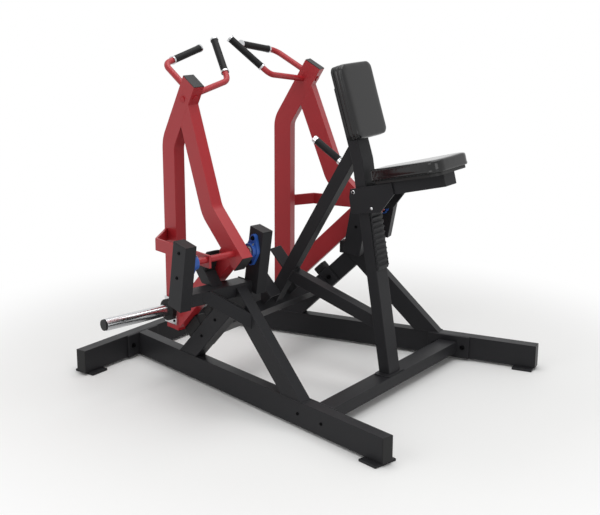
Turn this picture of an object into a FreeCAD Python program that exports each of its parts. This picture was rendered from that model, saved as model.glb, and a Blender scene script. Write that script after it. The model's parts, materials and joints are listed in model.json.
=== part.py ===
"""Chest-supported row machine with two plate-loaded arms, as a parametric FreeCAD document.

Millimetres.  The user sits at -Y and faces +Y; Z is up; X = 0 is the mirror plane.
The two side modules splay outward, so they are drawn in a side frame:
  along   = distance from the rear crossbeam along the rail, toward the user
  out     = distance outward from the rail's outer face
  up      = height above the floor
The centre pieces use the same frame with no splay, where along = -Y and out = X.
Only the right side is drawn; the left side is its mirror image.
"""
import FreeCAD, Part
import os
import Sketcher

doc = FreeCAD.newDocument("ChestSupportedRow")
sheet = doc.addObject("Spreadsheet::Sheet", "Sizes")

SIZES = [
    # base
    ("splay_angle", 12.23, "angle of each rail from the mirror plane, degrees"),
    ("rail_spread", 302.7, "X of the rail's outer face at the rear crossbeam"),
    ("rail_length", 1520, "rail, from the rear crossbeam"),
    ("rail_width", 50, "side tubes, across"),
    ("rail_tall", 100, "rail and rear crossbeam height"),
    ("wall", 3, "tube wall"),
    ("side_depth", 80, "deep side of the 50 x 80 tubes"),
    ("foot_thick", 10, "floor plate thickness"),
    ("foot_long", 87, "floor plate, along its tube"),
    ("foot_wide", 106, "floor plate, across its tube"),
    ("front_foot_inset", 5, "front floor plate, short of the rail's end"),
    ("rear_foot_reach", 31, "rear floor plate past the rear crossbeam"),
    ("rear_foot_inset", 14.5, "rear floor plate, short of the rear crossbeam's end"),
    ("cap_thick", 3, "plastic end cap"),
    ("rear_beam_half", 621.5, "half length of the rear crossbeam"),
    ("rear_beam_deep", 50, "rear crossbeam, front to back"),
    ("flange_thick", 10, "bolted flange plates"),
    ("flange_long", 190, "bolted flange plates"),
    ("front_beam_start", 1082, "rear face of the front crossbeam"),
    ("front_beam_tall", 50, "front crossbeam height"),
    ("front_beam_lift", 25, "front crossbeam's underside above the rail's"),
    ("strip_reach", 1200, "strips that are trimmed to length, longer than any tube"),
    ("mid_beam_along", 517, "centre of the mid crossbeam"),
    ("mid_beam_up", 260, "centre of the mid crossbeam"),
    # side module
    ("brace_foot", 313, "brace, rear corner on the rail"),
    ("brace_angle", 45, "brace and lower arm link"),
    ("leg_foot", 1089, "leg, front corner on the rail"),
    ("leg_angle", 43.56, "leg, from the floor"),
    ("beam_rear", 624, "pivot beam's rear face"),
    ("beam_up", 436, "pivot beam's underside"),
    ("beam_thick", 50, "pivot beam height"),
    ("outer_post_out", 241, "outer post's inner face"),
    ("inner_post_in", 76, "inner post's outer face, inboard of the rail face"),
    ("post_wide", 50, "posts, across"),
    ("post_lean", 9.75, "posts, from upright, toward the user"),
    ("post_foot_ahead", 31, "post's foot, past the pivot beam's middle"),
    ("post_foot_rise", 9, "post's foot, above the pivot beam's underside"),
    ("post_length", 260, "post, foot to top"),
    ("post_cap_thick", 3, "post cap"),
    ("strut_out", 124, "strut's centre line at the pivot beam"),
    ("strut_turn", 60, "strut's heading, from along to inboard"),
    ("strut_drop", 32.8, "strut's slope"),
    ("strut_wide", 40, "strut, across"),
    ("strut_tall", 50, "strut height"),
    # pivot
    ("pivot_height", 178.5, "arm pivot, from the post's foot along the post"),
    ("shaft_diameter", 25, "pivot shaft"),
    ("shaft_clearance", 0.05, "shaft in its bearings, radial"),
    ("bearing_flange", 14, "bearing flange thickness"),
    ("bearing_depth", 30, "bearing unit, over its boss"),
    ("bearing_centre_radius", 34, "bearing flange at its middle"),
    ("bearing_lobe_radius", 15, "bearing flange at its bolts"),
    ("bearing_bolt_offset", 50, "bearing bolts from the shaft"),
    ("bearing_boss_diameter", 58, "bearing boss"),
    ("bearing_gap", 2, "shaft end to the post"),
    # arm
    ("arm_width", 50, "arm tubes, across"),
    ("arm_depth", 80, "arm tubes, front to back"),
    ("arm_face_out", 30, "arm tubes' outer face"),
    ("arm_rear", 271, "rear arm tube's rear face"),
    ("arm_foot_up", 213, "rear arm tube's lower end"),
    ("arm_bend_up", 1010, "rear corner of the arm's bend"),
    ("arm_lean", 29.8, "upper arm tube, from upright"),
    ("arm_bend_radius", 60, "bend of the arm tubes, on the inner side"),
    ("column_bend_radius", 50, "bend of the seat column, on the inner side"),
    ("arm_head_length", 307, "upper arm tube, rear face"),
    ("fork_knee_behind", 127, "front tube's knee, front corner, from the pivot"),
    ("fork_knee_above", 163, "front tube's knee, front corner, from the pivot"),
    ("fork_upper_slope", 69.2, "front tube above the knee"),
    ("fork_lower_slope", 42.6, "front tube below the knee"),
    ("fork_end_length", 252, "front tube below the knee, front face"),
    ("link_down", 131, "lower link's underside, below the 45 degree line"),
    ("link_depth", 80, "lower link"),
    ("outrigger_thick", 10, "outrigger bar"),
    ("outrigger_tall", 50, "outrigger bar"),
    ("outrigger_up", 590, "outrigger's lower edge"),
    ("outrigger_bend", 390, "outrigger's bend, along"),
    ("outrigger_turn", 48.5, "outrigger's slanted part, from along to out, degrees"),
    ("outrigger_out", 150, "outrigger's inner face"),
    ("outrigger_past", 20, "outrigger's front end, past the pivot"),
    ("arm_cap_thick", 3, "plastic caps in the arm tubes' ends"),
    # weight horn
    ("horn_up", 300, "weight horn's axis"),
    ("horn_diameter", 50, "weight horn"),
    ("horn_length", 320, "weight horn, from its plate"),
    ("horn_plate_thick", 10, "weight horn's plate"),
    ("horn_plate_wide", 80, "weight horn's plate"),
    ("horn_plate_tall", 112, "weight horn's plate"),
    ("horn_plate_up", 238, "weight horn plate's lower edge"),
    ("cushion_thick", 20, "rubber washer on the horn"),
    ("cushion_diameter", 90, "rubber washer on the horn"),
    ("horn_root_diameter", 48, "horn's root, inside the rubber washer"),
    ("horn_root_length", 26, "horn's root, from its plate"),
    ("horn_cap_thick", 8, "horn's end cap"),
    ("horn_cap_diameter", 46, "horn's end cap"),
    # rests and stops
    ("rest_length", 107, "rest block, along the brace"),
    ("rest_gap", 0.3, "rest block to the arm"),
    ("bumper_along", 507, "rubber bumper, lower end on the brace"),
    ("bumper_length", 53, "rubber bumper, along the brace"),
    ("bumper_thick", 36, "rubber bumper, off the brace"),
    ("stop_foot_front", 665, "stop bar, front corner on the beam"),
    ("stop_lean", 48, "stop bar, from the floor, rearward"),
    ("stop_length", 116, "stop bar, front face"),
    ("stop_depth", 50, "stop bar"),
    ("stop_out", 88, "stop bar's outer face"),
    ("stop_width", 52, "stop bar, across"),
    ("buffer_tall", 60, "rubber buffer on the stop bar"),
    ("buffer_long", 50, "rubber buffer, along the stop bar"),
    ("buffer_side_slope", 50, "buffer's upper side, from the floor"),
    ("buffer_top_slope", 16, "buffer's top, from the floor"),
    ("buffer_back_slope", 70, "buffer's rear side, from the floor"),
    ("footplate_along", 610, "foot plate's face, lower end"),
    ("footplate_up", 341, "foot plate's face, lower end"),
    ("footplate_slope", 46, "foot plate, from the floor, rearward"),
    ("footplate_long", 208, "foot plate, along its slope"),
    ("footplate_out", 130, "foot plate's outer edge, from the middle plane"),
    ("footplate_wide", 75, "foot plate, across"),
    ("footplate_thick", 8, "foot plate and its gusset"),
    ("gusset_start", 6, "gusset on the plate, from the plate's lower end"),
    ("gusset_long", 110, "gusset, along the plate"),
    # handles
    ("handle_diameter", 25, "handle bars"),
    ("handle_bend", 45, "handle bar bend radius"),
    ("grip_diameter", 30, "grips"),
    ("collar_diameter", 34, "grip collars"),
    ("collar_length", 8, "grip collars"),
    ("grip_length", 172, "grips"),
    ("bar_stub", 5, "handle bars, past the far wall of the arm's head"),
    ("high_down", 50, "high handle's axis, below the head's front corner"),
    ("high_out", 5, "high handle's axis, outward of the rail's face"),
    ("high_reach", 232, "high handle, head's front face to the bend's corner"),
    ("high_swing", 236, "high handle, bend's corner to its end"),
    ("high_roll", 2, "high handle's plane, turned about its first leg"),
    ("high_turn", 71, "high handle's bend"),
    ("low_down", 82, "low handle's axis, below the head's front corner"),
    ("low_deep", 40, "low handle's axis, behind the head's front face"),
    ("low_reach", 283.5, "low handle, head's outer face to the bend's corner"),
    ("low_swing", 231, "low handle, bend's corner to its end"),
    ("low_heading", 102.5, "low handle's first leg, from along to inboard"),
    ("low_rise", 9.5, "low handle's first leg, from level"),
    ("low_roll", 137.6, "low handle's plane, turned about its first leg"),
    ("low_turn", 60.1, "low handle's bend"),
    # centre
    ("centre_width", 50, "centre tubes"),
    ("diagonal_slope", 59.3, "diagonal, from the floor"),
    ("diagonal_depth", 52, "diagonal and stay"),
    ("diagonal_along", 921, "a point on the diagonal's rear face"),
    ("diagonal_up", 1001, "a point on the diagonal's rear face"),
    ("stay_slope", 16.3, "stay, from the floor"),
    ("stay_along", 643, "stay's top face at the diagonal"),
    ("stay_up", 441, "stay's top face at the diagonal"),
    ("column_width", 80, "seat column, across"),
    ("column_depth", 50, "seat column, front to back"),
    ("column_lean", 9.87, "seat column, from upright, toward the rear"),
    ("column_foot", 1098, "seat column's rear face at the crossbeam's top"),
    ("rack_thick", 6, "toothed rack"),
    ("rack_start", 435, "rack's lower end, along the column"),
    ("rack_pitch", 22, "rack tooth pitch"),
    ("rack_teeth", 13, "rack teeth"),
    ("tooth_depth", 8, "rack tooth"),
    ("tooth_rise", 16.5, "rack tooth's long flank, along the rack"),
    ("plate_thick", 8, "seat carriage plate"),
    ("plate_gap", 2, "carriage plate to the column"),
    ("pin_diameter", 12, "carriage pins"),
    ("pin_gap", 0.5, "carriage pins to the column and rack"),
    ("seat_tube_slope", 14.8, "seat tube, from the floor"),
    ("seat_tube_depth", 50, "seat tube"),
    ("seat_tube_length", 290, "seat tube"),
    ("seat_board_thick", 12, "boards under the pads"),
    ("seat_pad_thick", 48, "seat pad"),
    ("seat_pad_length", 358, "seat pad, front to back"),
    ("seat_pad_wide", 272, "seat pad at the user's end"),
    ("seat_pad_narrow", 110, "seat pad at the column"),
    ("chest_pad_wide", 216, "chest pad"),
    ("chest_pad_tall", 300, "chest pad"),
    ("chest_pad_thick", 45, "chest pad"),
    ("chest_pad_tilt", 18.2, "chest pad, from upright"),
    ("chest_pad_along", 980, "middle of the chest pad's face"),
    ("chest_pad_up", 1190, "middle of the chest pad's face"),
    ("support_handle_up", 925, "support handle's axis at the diagonal's rear face"),
    ("support_handle_length", 146, "support handle, to its tip"),
    ("support_bar_diameter", 20, "support handle bar"),
    ("plate_tip_along", 1139, "carriage plate's user corner"),
    ("plate_tip_up", 838, "carriage plate's user corner"),
    ("plate_tip_wide", 13, "carriage plate's tip, past its reference corner"),
    ("plate_rear_top_along", -191, "carriage plate's rear top corner, from its tip"),
    ("plate_rear_top_up", -5, "carriage plate's rear top corner, from its tip"),
    ("plate_tip_top_along", 0, "carriage plate's tip top corner, from its tip"),
    ("plate_tip_top_up", 45, "carriage plate's tip top corner, from its tip"),
    ("plate_heel_along", -34, "carriage plate's heel corner, from its tip"),
    ("plate_heel_up", -62, "carriage plate's heel corner, from its tip"),
    ("plate_heel_low_along", -47, "carriage plate's heel low corner, from its tip"),
    ("plate_heel_low_up", -80, "carriage plate's heel low corner, from its tip"),
    ("plate_low_along", -141, "carriage plate's low corner, from its tip"),
    ("plate_low_up", -98, "carriage plate's low corner, from its tip"),
    ("plate_rear_low_along", -184, "carriage plate's rear low corner, from its tip"),
    ("plate_rear_low_up", -104, "carriage plate's rear low corner, from its tip"),
    ("plate_rear_along", -195, "carriage plate's rear corner, from its tip"),
    ("plate_rear_up", -36, "carriage plate's rear corner, from its tip"),
    ("rear_pin_up", 823, "carriage pin behind the column"),
    ("front_pin_up", 768, "carriage pin at the rack"),
    ("seat_tube_along", 1095, "seat tube's lower rear corner"),
    ("seat_tube_up", 822, "seat tube's lower rear corner"),
    ("seat_overhang", 35, "seat board past the seat tube"),
    ("board_inset", 12, "seat board inside the seat pad's edge"),
    ("chest_board_inset", 3, "chest board inside the chest pad's edge"),
    ("seat_pad_round", 45, "seat pad's corners at the user's end"),
    ("seat_pad_rear_round", 16, "seat pad's corners at the column"),
    ("chest_pad_round", 30, "chest pad's corners"),
    ("pad_gap", 0.3, "pads to their boards"),
]
for row, (alias, value, note) in enumerate(SIZES, start=1):
    sheet.set(f"A{row}", note)
    sheet.set(f"B{row}", str(value))
    sheet.setAlias(f"B{row}", alias)
doc.recompute()


# ---------------------------------------------------------------- formulas on the sheet
class Formula:
    """A length or angle as the text that FreeCAD works out from the sheet's cells."""

    def __init__(self, text):
        self.text = str(text)

    def __add__(self, other):
        return Formula(f"({self.text} + {text_of(other)})")

    def __radd__(self, other):
        return Formula(f"({text_of(other)} + {self.text})")

    def __sub__(self, other):
        return Formula(f"({self.text} - {text_of(other)})")

    def __rsub__(self, other):
        return Formula(f"({text_of(other)} - {self.text})")

    def __mul__(self, other):
        return Formula(f"({self.text} * {text_of(other)})")

    def __rmul__(self, other):
        return Formula(f"({text_of(other)} * {self.text})")

    def __truediv__(self, other):
        return Formula(f"({self.text} / {text_of(other)})")

    def __neg__(self):
        return Formula(f"(0 - {self.text})")


class SizeNames:
    """S.wall is the formula of the cell whose alias is wall."""

    def __getattr__(self, alias):
        return Formula("Sizes." + alias)


S = SizeNames()
ZERO = Formula(0)


def text_of(value):
    return value.text if isinstance(value, Formula) else str(value)


def sin(angle):
    return Formula(f"sin({text_of(angle)})")


def cos(angle):
    return Formula(f"cos({text_of(angle)})")


def tan(angle):
    return Formula(f"tan({text_of(angle)})")


def number(value):
    return float(sheet.evalExpression(text_of(value)))


def bind(item, prop, value):
    item.setExpression(prop, text_of(value))


def step(point, angle, length):
    """The point that lies length away from point in the direction angle."""
    return (point[0] + length * cos(angle), point[1] + length * sin(angle))


def meet(point_a, angle_a, point_b, angle_b):
    """Where the line through point_a at angle_a crosses the line through point_b at angle_b."""
    across = ((point_b[0] - point_a[0]) * sin(angle_b)
              - (point_b[1] - point_a[1]) * cos(angle_b))
    return step(point_a, angle_a, across / sin(angle_b - angle_a))


# ---------------------------------------------------------------- frames
rail_top = S.foot_thick + S.rail_tall
front_foot_end = S.rail_length - S.front_foot_inset
front_reach = (front_foot_end * cos(S.splay_angle)
               + (S.rail_width + S.foot_wide) / 2 * sin(S.splay_angle))
rear_reach = S.rear_beam_deep + S.rear_foot_reach
rear_y = (front_reach - rear_reach) / 2
TURN_UP = "rotation(vector(1; 0; 0); 90)"


def frame(spread, splay):
    """Text of the placement that takes (along, out, up) to the machine's frame."""
    return (f"placement(vector({text_of(spread)}; {text_of(rear_y)}; 0); "
            f"rotation(vector(0; 0; 1); {text_of(splay)} - 90))")


SIDE = frame(S.rail_spread, S.splay_angle)
CENTRE = frame(0, 0)


def upright(base, out):
    """A placement whose sketch plane is (along, up) at out, with its pad going inboard."""
    return f"{base} * placement(vector(0; {text_of(out)}; 0); {TURN_UP})"


def level(base, up):
    """A placement whose sketch plane is (along, out) at up, with its pad going up."""
    return f"{base} * placement(vector(0; 0; {text_of(up)}); rotation(vector(0; 0; 1); 0))"


# ---------------------------------------------------------------- building blocks
nodes = {}
CLOSE = 0.01


def origin_plane(body, role):
    return [item for item in body.Origin.OriginFeatures if item.Role == role][0]


def outline(body, name, corners, lift=0):
    """A closed sketch whose corners are held at their formulas, lifted off the body's XY plane."""
    sketch = body.newObject("Sketcher::SketchObject", name)
    sketch.AttachmentSupport = [(origin_plane(body, "XY_Plane"), "")]
    sketch.MapMode = "FlatFace"
    bind(sketch, "AttachmentOffset.Base.z", lift)
    spots = [FreeCAD.Vector(number(x), number(y), 0) for x, y in corners]
    count = len(spots)
    for index in range(count):
        sketch.addGeometry(Part.LineSegment(spots[index], spots[(index + 1) % count]))
    for index, (x, y) in enumerate(corners):
        sketch.addConstraint(Sketcher.Constraint("Coincident", index, 2, (index + 1) % count, 1))
        for kind, value in (("DistanceX", x), ("DistanceY", y)):
            held = sketch.addConstraint(Sketcher.Constraint(kind, -1, 1, index, 1, number(value)))
            sketch.setExpression(f"Constraints[{held}]", text_of(value))
    return sketch


def pad(body, name, corners, length, lift=0):
    feature = body.newObject("PartDesign::Pad", name)
    feature.Profile = outline(body, name + "Outline", corners, lift)
    bind(feature, "Length", length)
    return feature


def pocket(body, name, corners, length, lift=0):
    feature = body.newObject("PartDesign::Pocket", name)
    feature.Profile = outline(body, name + "Outline", corners, lift)
    feature.Reversed = True
    bind(feature, "Length", length)
    return feature


def make_body(label, place):
    body = doc.addObject("PartDesign::Body", label)
    body.setExpression("Placement", place)
    return body


def plate(label, place, corners, thick):
    """A solid piece: one outline padded to its thickness."""
    body = make_body(label, place)
    pad(body, label + "Pad", corners, thick)
    return body


def tube(label, place, corners, inside, width):
    """A tube seen from its side: corners is its outline, inside the outline of its hollow."""
    body = make_body(label, place)
    pad(body, label + "Outer", corners, width)
    pocket(body, label + "Hollow", inside, width - 2 * S.wall, S.wall)
    return body


def round_edges(body, label, spots, radius):
    """Rounds the edges that stand on the sketch plane at spots."""
    doc.recompute()
    last = body.Tip
    wanted = [FreeCAD.Vector(number(x), number(y), 0) for x, y in spots]
    picked = []
    for index, edge in enumerate(last.Shape.Edges, start=1):
        feet = [FreeCAD.Vector(vertex.X, vertex.Y, 0) for vertex in edge.Vertexes]
        if any(all(foot.isEqual(spot, CLOSE) for foot in feet) for spot in wanted):
            picked.append(f"Edge{index}")
    feature = body.newObject("PartDesign::Fillet", label)
    feature.Base = (last, picked)
    bind(feature, "Radius", radius)


def bend_tube(body, label, inner, outer, inner_hollow, outer_hollow, radius, depth):
    """Gives a tube's bend its arcs: inner and outer faces, and the hollow's."""
    round_edges(body, label + "Inner", [inner], radius)
    round_edges(body, label + "Outer", [outer], radius + depth)
    round_edges(body, label + "HollowInner", [inner_hollow], radius + S.wall)
    round_edges(body, label + "HollowOuter", [outer_hollow], radius + depth - S.wall)


def box(label, place, size):
    item = doc.addObject("Part::Box", label)
    for prop, value in zip(("Length", "Width", "Height"), size):
        bind(item, prop, value)
    item.setExpression("Placement", place)
    return item


def rod(label, place, diameter, length):
    item = doc.addObject("Part::Cylinder", label)
    bind(item, "Radius", diameter / 2)
    bind(item, "Height", length)
    item.setExpression("Placement", place)
    return item


def cut(label, base, tool):
    item = doc.addObject("Part::Cut", label)
    item.Base = base
    item.Tool = tool
    return item


def common(label, base, tool):
    item = doc.addObject("Part::Common", label)
    item.Base = base
    item.Tool = tool
    return item


def fuse(label, items):
    item = doc.addObject("Part::MultiFuse", label)
    item.Shapes = items
    return item


def group(label, items):
    """Separate solids that share one node."""
    item = doc.addObject("Part::Compound", label)
    item.Links = items
    return item


def mirror(label, source):
    item = doc.addObject("Part::Mirroring", label)
    item.Source = source
    item.Normal = FreeCAD.Vector(1, 0, 0)
    return item


def keep(name, item):
    item.Label = name
    nodes[name] = item


def keep_both(name, item):
    """One node on each side."""
    keep("right_" + name, item)
    keep("left_" + name, mirror("Left" + name, item))


def keep_pair(name, items):
    """The pieces of both sides in one node."""
    twins = [mirror(f"{name}Twin{index}", item) for index, item in enumerate(items)]
    keep(name, group(name + "Set", list(items) + twins))


def at(base, along, out, up, turn="rotation(vector(0; 0; 1); 0)"):
    spot = f"vector({text_of(along)}; {text_of(out)}; {text_of(up)})"
    return f"{base} * placement({spot}; {turn})"


def beam_corners(foot, angle, depth, length):
    """The four corners of a straight tube, its first edge starting at foot."""
    side = angle + 90
    return [foot, step(foot, angle, length), step(step(foot, angle, length), side, depth),
            step(foot, side, depth)]


def straight_tube(label, place, corners, foot, angle, depth, width):
    """A tube whose ends are mitred to corners; its hollow follows the strip from foot."""
    start = step(step(foot, angle, -S.side_depth), angle + 90, S.wall)
    inside = beam_corners(start, angle, depth - 2 * S.wall, S.strip_reach)
    return tube(label, place, corners, inside, width)


def sleeve(label, place, outer, inner, length):
    """A round sleeve along the placement's Z axis."""
    return cut(label, rod(label + "Solid", place, outer, length),
               rod(label + "Bore", place, inner, length))


def bent_bar(label, place, first, second, turn):
    """A round bar in its own XY plane: along X, one bend, then on at the angle turn."""
    body = make_body(label, place)
    spine = body.newObject("Sketcher::SketchObject", label + "Spine")
    spine.AttachmentSupport = [(origin_plane(body, "XY_Plane"), "")]
    spine.MapMode = "FlatFace"
    setback = S.handle_bend * tan(turn / 2)
    bend_start = (first - setback, ZERO)
    bend_end = step((first, ZERO), turn, setback)
    end = step((first, ZERO), turn, second)
    spots = [FreeCAD.Vector(number(x), number(y), 0)
             for x, y in ((ZERO, ZERO), bend_start, bend_end, end)]
    middle = FreeCAD.Vector(spots[1].x, number(S.handle_bend), 0)
    spine.addGeometry(Part.LineSegment(spots[0], spots[1]))
    spine.addGeometry(Part.LineSegment(spots[2], spots[3]))
    circle = Part.Circle(middle, FreeCAD.Vector(0, 0, 1), number(S.handle_bend))
    quarter = FreeCAD.Units.Quantity("90 deg").getValueAs("rad")
    sweep = FreeCAD.Units.Quantity(f"{number(turn)} deg").getValueAs("rad")
    spine.addGeometry(Part.ArcOfCircle(circle, -quarter.Value, (sweep - quarter).Value))
    spine.addConstraint(Sketcher.Constraint("Coincident", 0, 1, -1, 1))
    spine.addConstraint(Sketcher.Constraint("Tangent", 0, 2, 2, 1))
    spine.addConstraint(Sketcher.Constraint("Tangent", 2, 2, 1, 1))
    for item, point, (x, y) in ((0, 2, bend_start), (1, 2, end)):
        for kind, value in (("DistanceX", x), ("DistanceY", y)):
            held = spine.addConstraint(Sketcher.Constraint(kind, -1, 1, item, point, number(value)))
            spine.setExpression(f"Constraints[{held}]", text_of(value))
    held = spine.addConstraint(Sketcher.Constraint("Radius", 2, number(S.handle_bend)))
    spine.setExpression(f"Constraints[{held}]", text_of(S.handle_bend))
    ring = body.newObject("Sketcher::SketchObject", label + "Section")
    ring.AttachmentSupport = [(origin_plane(body, "YZ_Plane"), "")]
    ring.MapMode = "FlatFace"
    centre = FreeCAD.Vector(0, 0, 0)
    ring.addGeometry(Part.Circle(centre, FreeCAD.Vector(0, 0, 1), number(S.handle_diameter) / 2))
    ring.addConstraint(Sketcher.Constraint("Coincident", 0, 3, -1, 1))
    held = ring.addConstraint(Sketcher.Constraint("Diameter", 0, number(S.handle_diameter)))
    ring.setExpression(f"Constraints[{held}]", text_of(S.handle_diameter))
    pipe = body.newObject("PartDesign::AdditivePipe", label + "Pipe")
    pipe.Profile = ring
    pipe.Spine = (spine, ["Edge1", "Edge3", "Edge2"])
    return body


# ---------------------------------------------------------------- base
half_long = S.flange_long / 2
rail_side = [((S.flange_thick - out * sin(S.splay_angle)) / cos(S.splay_angle), -1 * out)
             for out in (ZERO, S.rail_width)]
rail_outline = [rail_side[0], (S.rail_length, 0), (S.rail_length, -S.rail_width), rail_side[1]]
rail_inside = [(-S.rail_width, -S.wall), (S.rail_length + S.wall, -S.wall),
               (S.rail_length + S.wall, S.wall - S.rail_width),
               (-S.rail_width, S.wall - S.rail_width)]
rail = make_body("Rail", level(SIDE, S.foot_thick))
pad(rail, "RailOuter", rail_outline, S.rail_tall)
pocket(rail, "RailHollow", rail_inside, S.rail_tall - 2 * S.wall, S.wall)
keep_both("rail", rail)
rail_cap = box("RailCap", at(SIDE, S.rail_length, -S.rail_width, S.foot_thick),
               (S.cap_thick, S.rail_width, S.rail_tall))

rear_face = -S.rear_beam_deep
rear_beam = box("RearBeamOuter", at(CENTRE, rear_face, -S.rear_beam_half, S.foot_thick),
                (S.rear_beam_deep, 2 * S.rear_beam_half, S.rail_tall))
rear_hollow = box("RearBeamHollow",
                  at(CENTRE, rear_face + S.wall, -S.rear_beam_half - S.wall,
                     S.foot_thick + S.wall),
                  (S.rear_beam_deep - 2 * S.wall, 2 * (S.rear_beam_half + S.wall),
                   S.rail_tall - 2 * S.wall))
keep("rear_crossbeam", cut("RearBeam", rear_beam, rear_hollow))
rear_cap = box("RearBeamCap", at(CENTRE, rear_face, S.rear_beam_half, S.foot_thick),
               (S.rear_beam_deep, S.cap_thick, S.rail_tall))
keep_pair("tube_end_caps", [rail_cap, rear_cap])

rail_middle = S.rail_spread - S.rail_width / 2 * cos(S.splay_angle)
rear_flange = box("RearFlange", at(CENTRE, 0, rail_middle - half_long, S.foot_thick),
                  (S.flange_thick, S.flange_long, S.rail_tall))

rear_foot = box("RearFoot", at(CENTRE, -S.rear_beam_deep - S.rear_foot_reach,
                               S.rear_beam_half - S.rear_foot_inset - S.foot_long, 0),
                (S.foot_wide, S.foot_long, S.foot_thick))
front_foot = box("FrontFoot", at(SIDE, front_foot_end - S.foot_long,
                                 -(S.rail_width + S.foot_wide) / 2, 0),
                 (S.foot_long, S.foot_wide, S.foot_thick))
keep_pair("foot_plates", [rear_foot, front_foot])


def between_rails(along, setback):
    """Out, in the centre frame, of the plane that stands setback inboard of the rail's face."""
    return S.rail_spread - setback / cos(S.splay_angle) + along * tan(S.splay_angle)


beam_setback = S.rail_width + S.flange_thick
front_beam_end = S.front_beam_start + S.side_depth


def crossbeam_outline(start, end, setback):
    return [(start, -between_rails(start, setback)), (end, -between_rails(end, setback)),
            (end, between_rails(end, setback)), (start, between_rails(start, setback))]


front_beam = make_body("FrontBeam", level(CENTRE, S.foot_thick + S.front_beam_lift))
pad(front_beam, "FrontBeamOuter",
    crossbeam_outline(S.front_beam_start, front_beam_end, beam_setback), S.front_beam_tall)
pocket(front_beam, "FrontBeamHollow",
       crossbeam_outline(S.front_beam_start + S.wall, front_beam_end - S.wall, ZERO),
       S.front_beam_tall - 2 * S.wall, S.wall)
keep("front_crossbeam", front_beam)


def along_side(along):
    """The side frame's along of a centre-frame along, at the flange plates' inner faces."""
    return (along - beam_setback * sin(S.splay_angle)) / cos(S.splay_angle)


front_flange = box("FrontFlange",
                   at(SIDE, along_side(S.front_beam_start + S.side_depth / 2) - half_long,
                      -beam_setback, S.foot_thick),
                   (S.flange_long, S.flange_thick, S.rail_tall))

# ---------------------------------------------------------------- side module: brace and leg
brace_low = (S.brace_foot + S.side_depth / sin(S.brace_angle), rail_top)
leg_front = (S.leg_foot, rail_top)
leg_rear = (S.leg_foot - S.side_depth / sin(S.leg_angle), rail_top)
leg_way = 180 - S.leg_angle
beam_front = S.beam_rear + S.side_depth
beam_top = S.beam_up + S.beam_thick
brace = straight_tube(
    "Brace", upright(SIDE, 0),
    [(S.brace_foot, rail_top), brace_low, meet(brace_low, S.brace_angle, leg_rear, leg_way),
     meet((S.brace_foot, rail_top), S.brace_angle, leg_rear, leg_way)],
    brace_low, S.brace_angle, S.side_depth, S.rail_width)
keep_pair("braces", [brace])
leg = straight_tube(
    "Leg", upright(SIDE, 0),
    [leg_front, leg_rear, meet(leg_rear, leg_way, (S.beam_rear, S.beam_up), 0),
     (beam_front, S.beam_up), meet(leg_front, leg_way, (beam_front, S.beam_up), 90)],
    leg_front, leg_way, S.side_depth, S.rail_width)
keep_pair("legs", [leg])

# ---------------------------------------------------------------- mid crossbeam, between the braces
mid_middle = (S.mid_beam_along, S.mid_beam_up)
mid_start = step(step(mid_middle, S.brace_angle, -S.side_depth / 2),
                 S.brace_angle - 90, S.centre_width / 2)
mid_corners = beam_corners(mid_start, S.brace_angle, S.centre_width, S.side_depth)
mid_inside = beam_corners(step(step(mid_start, S.brace_angle, S.wall), S.brace_angle + 90, S.wall),
                          S.brace_angle, S.centre_width - 2 * S.wall, S.side_depth - 2 * S.wall)
mid_half = S.rail_spread + S.mid_beam_along * tan(S.splay_angle)
mid_tube = make_body("MidTube", upright(CENTRE, mid_half))
pad(mid_tube, "MidTubeOuter", mid_corners, 2 * mid_half)
pocket(mid_tube, "MidTubeHollow", mid_inside, 2 * mid_half)
mid_room = make_body("MidRoom", level(CENTRE, S.mid_beam_up - S.side_depth))
pad(mid_room, "MidRoomPad",
    crossbeam_outline(S.mid_beam_along - S.side_depth, S.mid_beam_along + S.side_depth,
                      beam_setback), 2 * S.side_depth)
keep("mid_crossbeam", common("MidBeam", mid_tube, mid_room))
mid_spot = (along_side(S.mid_beam_along), S.mid_beam_up)
mid_plate_start = step(step(mid_spot, S.brace_angle, -half_long),
                       S.brace_angle - 90, S.side_depth / 2)
mid_flange = plate("MidFlange", upright(SIDE, -S.rail_width),
                   beam_corners(mid_plate_start, S.brace_angle, S.side_depth, S.flange_long),
                   S.flange_thick)
keep_pair("flange_plates", [rear_flange, front_flange, mid_flange])

# ---------------------------------------------------------------- pivot beam, posts and strut
def closed_box(label, place_of, size):
    """A box tube with closed ends; place_of gives its placement for an inset."""
    outer = box(label + "Outer", place_of(ZERO), size)
    inner = box(label + "Inner", place_of(S.wall), [length - 2 * S.wall for length in size])
    return cut(label, outer, inner)


outer_beam = closed_box(
    "OuterBeam",
    lambda inset: at(SIDE, S.beam_rear + inset, inset - S.inner_post_in, S.beam_up + inset),
    (S.side_depth, S.outer_post_out + S.inner_post_in, S.beam_thick))
keep_pair("pivot_beams", [outer_beam])

stub_half = S.centre_width / 2

post_way = 90 - S.post_lean
post_middle = (S.beam_rear + S.side_depth / 2 + S.post_foot_ahead, S.beam_up + S.post_foot_rise)
post_foot = step(post_middle, -S.post_lean, S.side_depth / 2)
post_corners = beam_corners(post_foot, post_way, S.side_depth, S.post_length)
post_inside = beam_corners(step(step(post_foot, post_way, -S.wall), post_way + 90, S.wall),
                           post_way, S.side_depth - 2 * S.wall, S.post_length + 2 * S.wall)
cap_foot = step(post_foot, post_way, S.post_length)
for name, out in (("outer_posts", S.outer_post_out + S.post_wide),
                  ("inner_posts", -S.inner_post_in)):
    post = tube(name + "Tube", upright(SIDE, out), post_corners, post_inside, S.post_wide)
    keep_pair(name, [post])
post_caps = [plate(f"PostCap{index}", upright(SIDE, out),
                   beam_corners(cap_foot, post_way, S.side_depth, S.post_cap_thick), S.post_wide)
             for index, out in enumerate((S.outer_post_out + S.post_wide, -S.inner_post_in))]
keep_pair("post_caps", post_caps)

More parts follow.
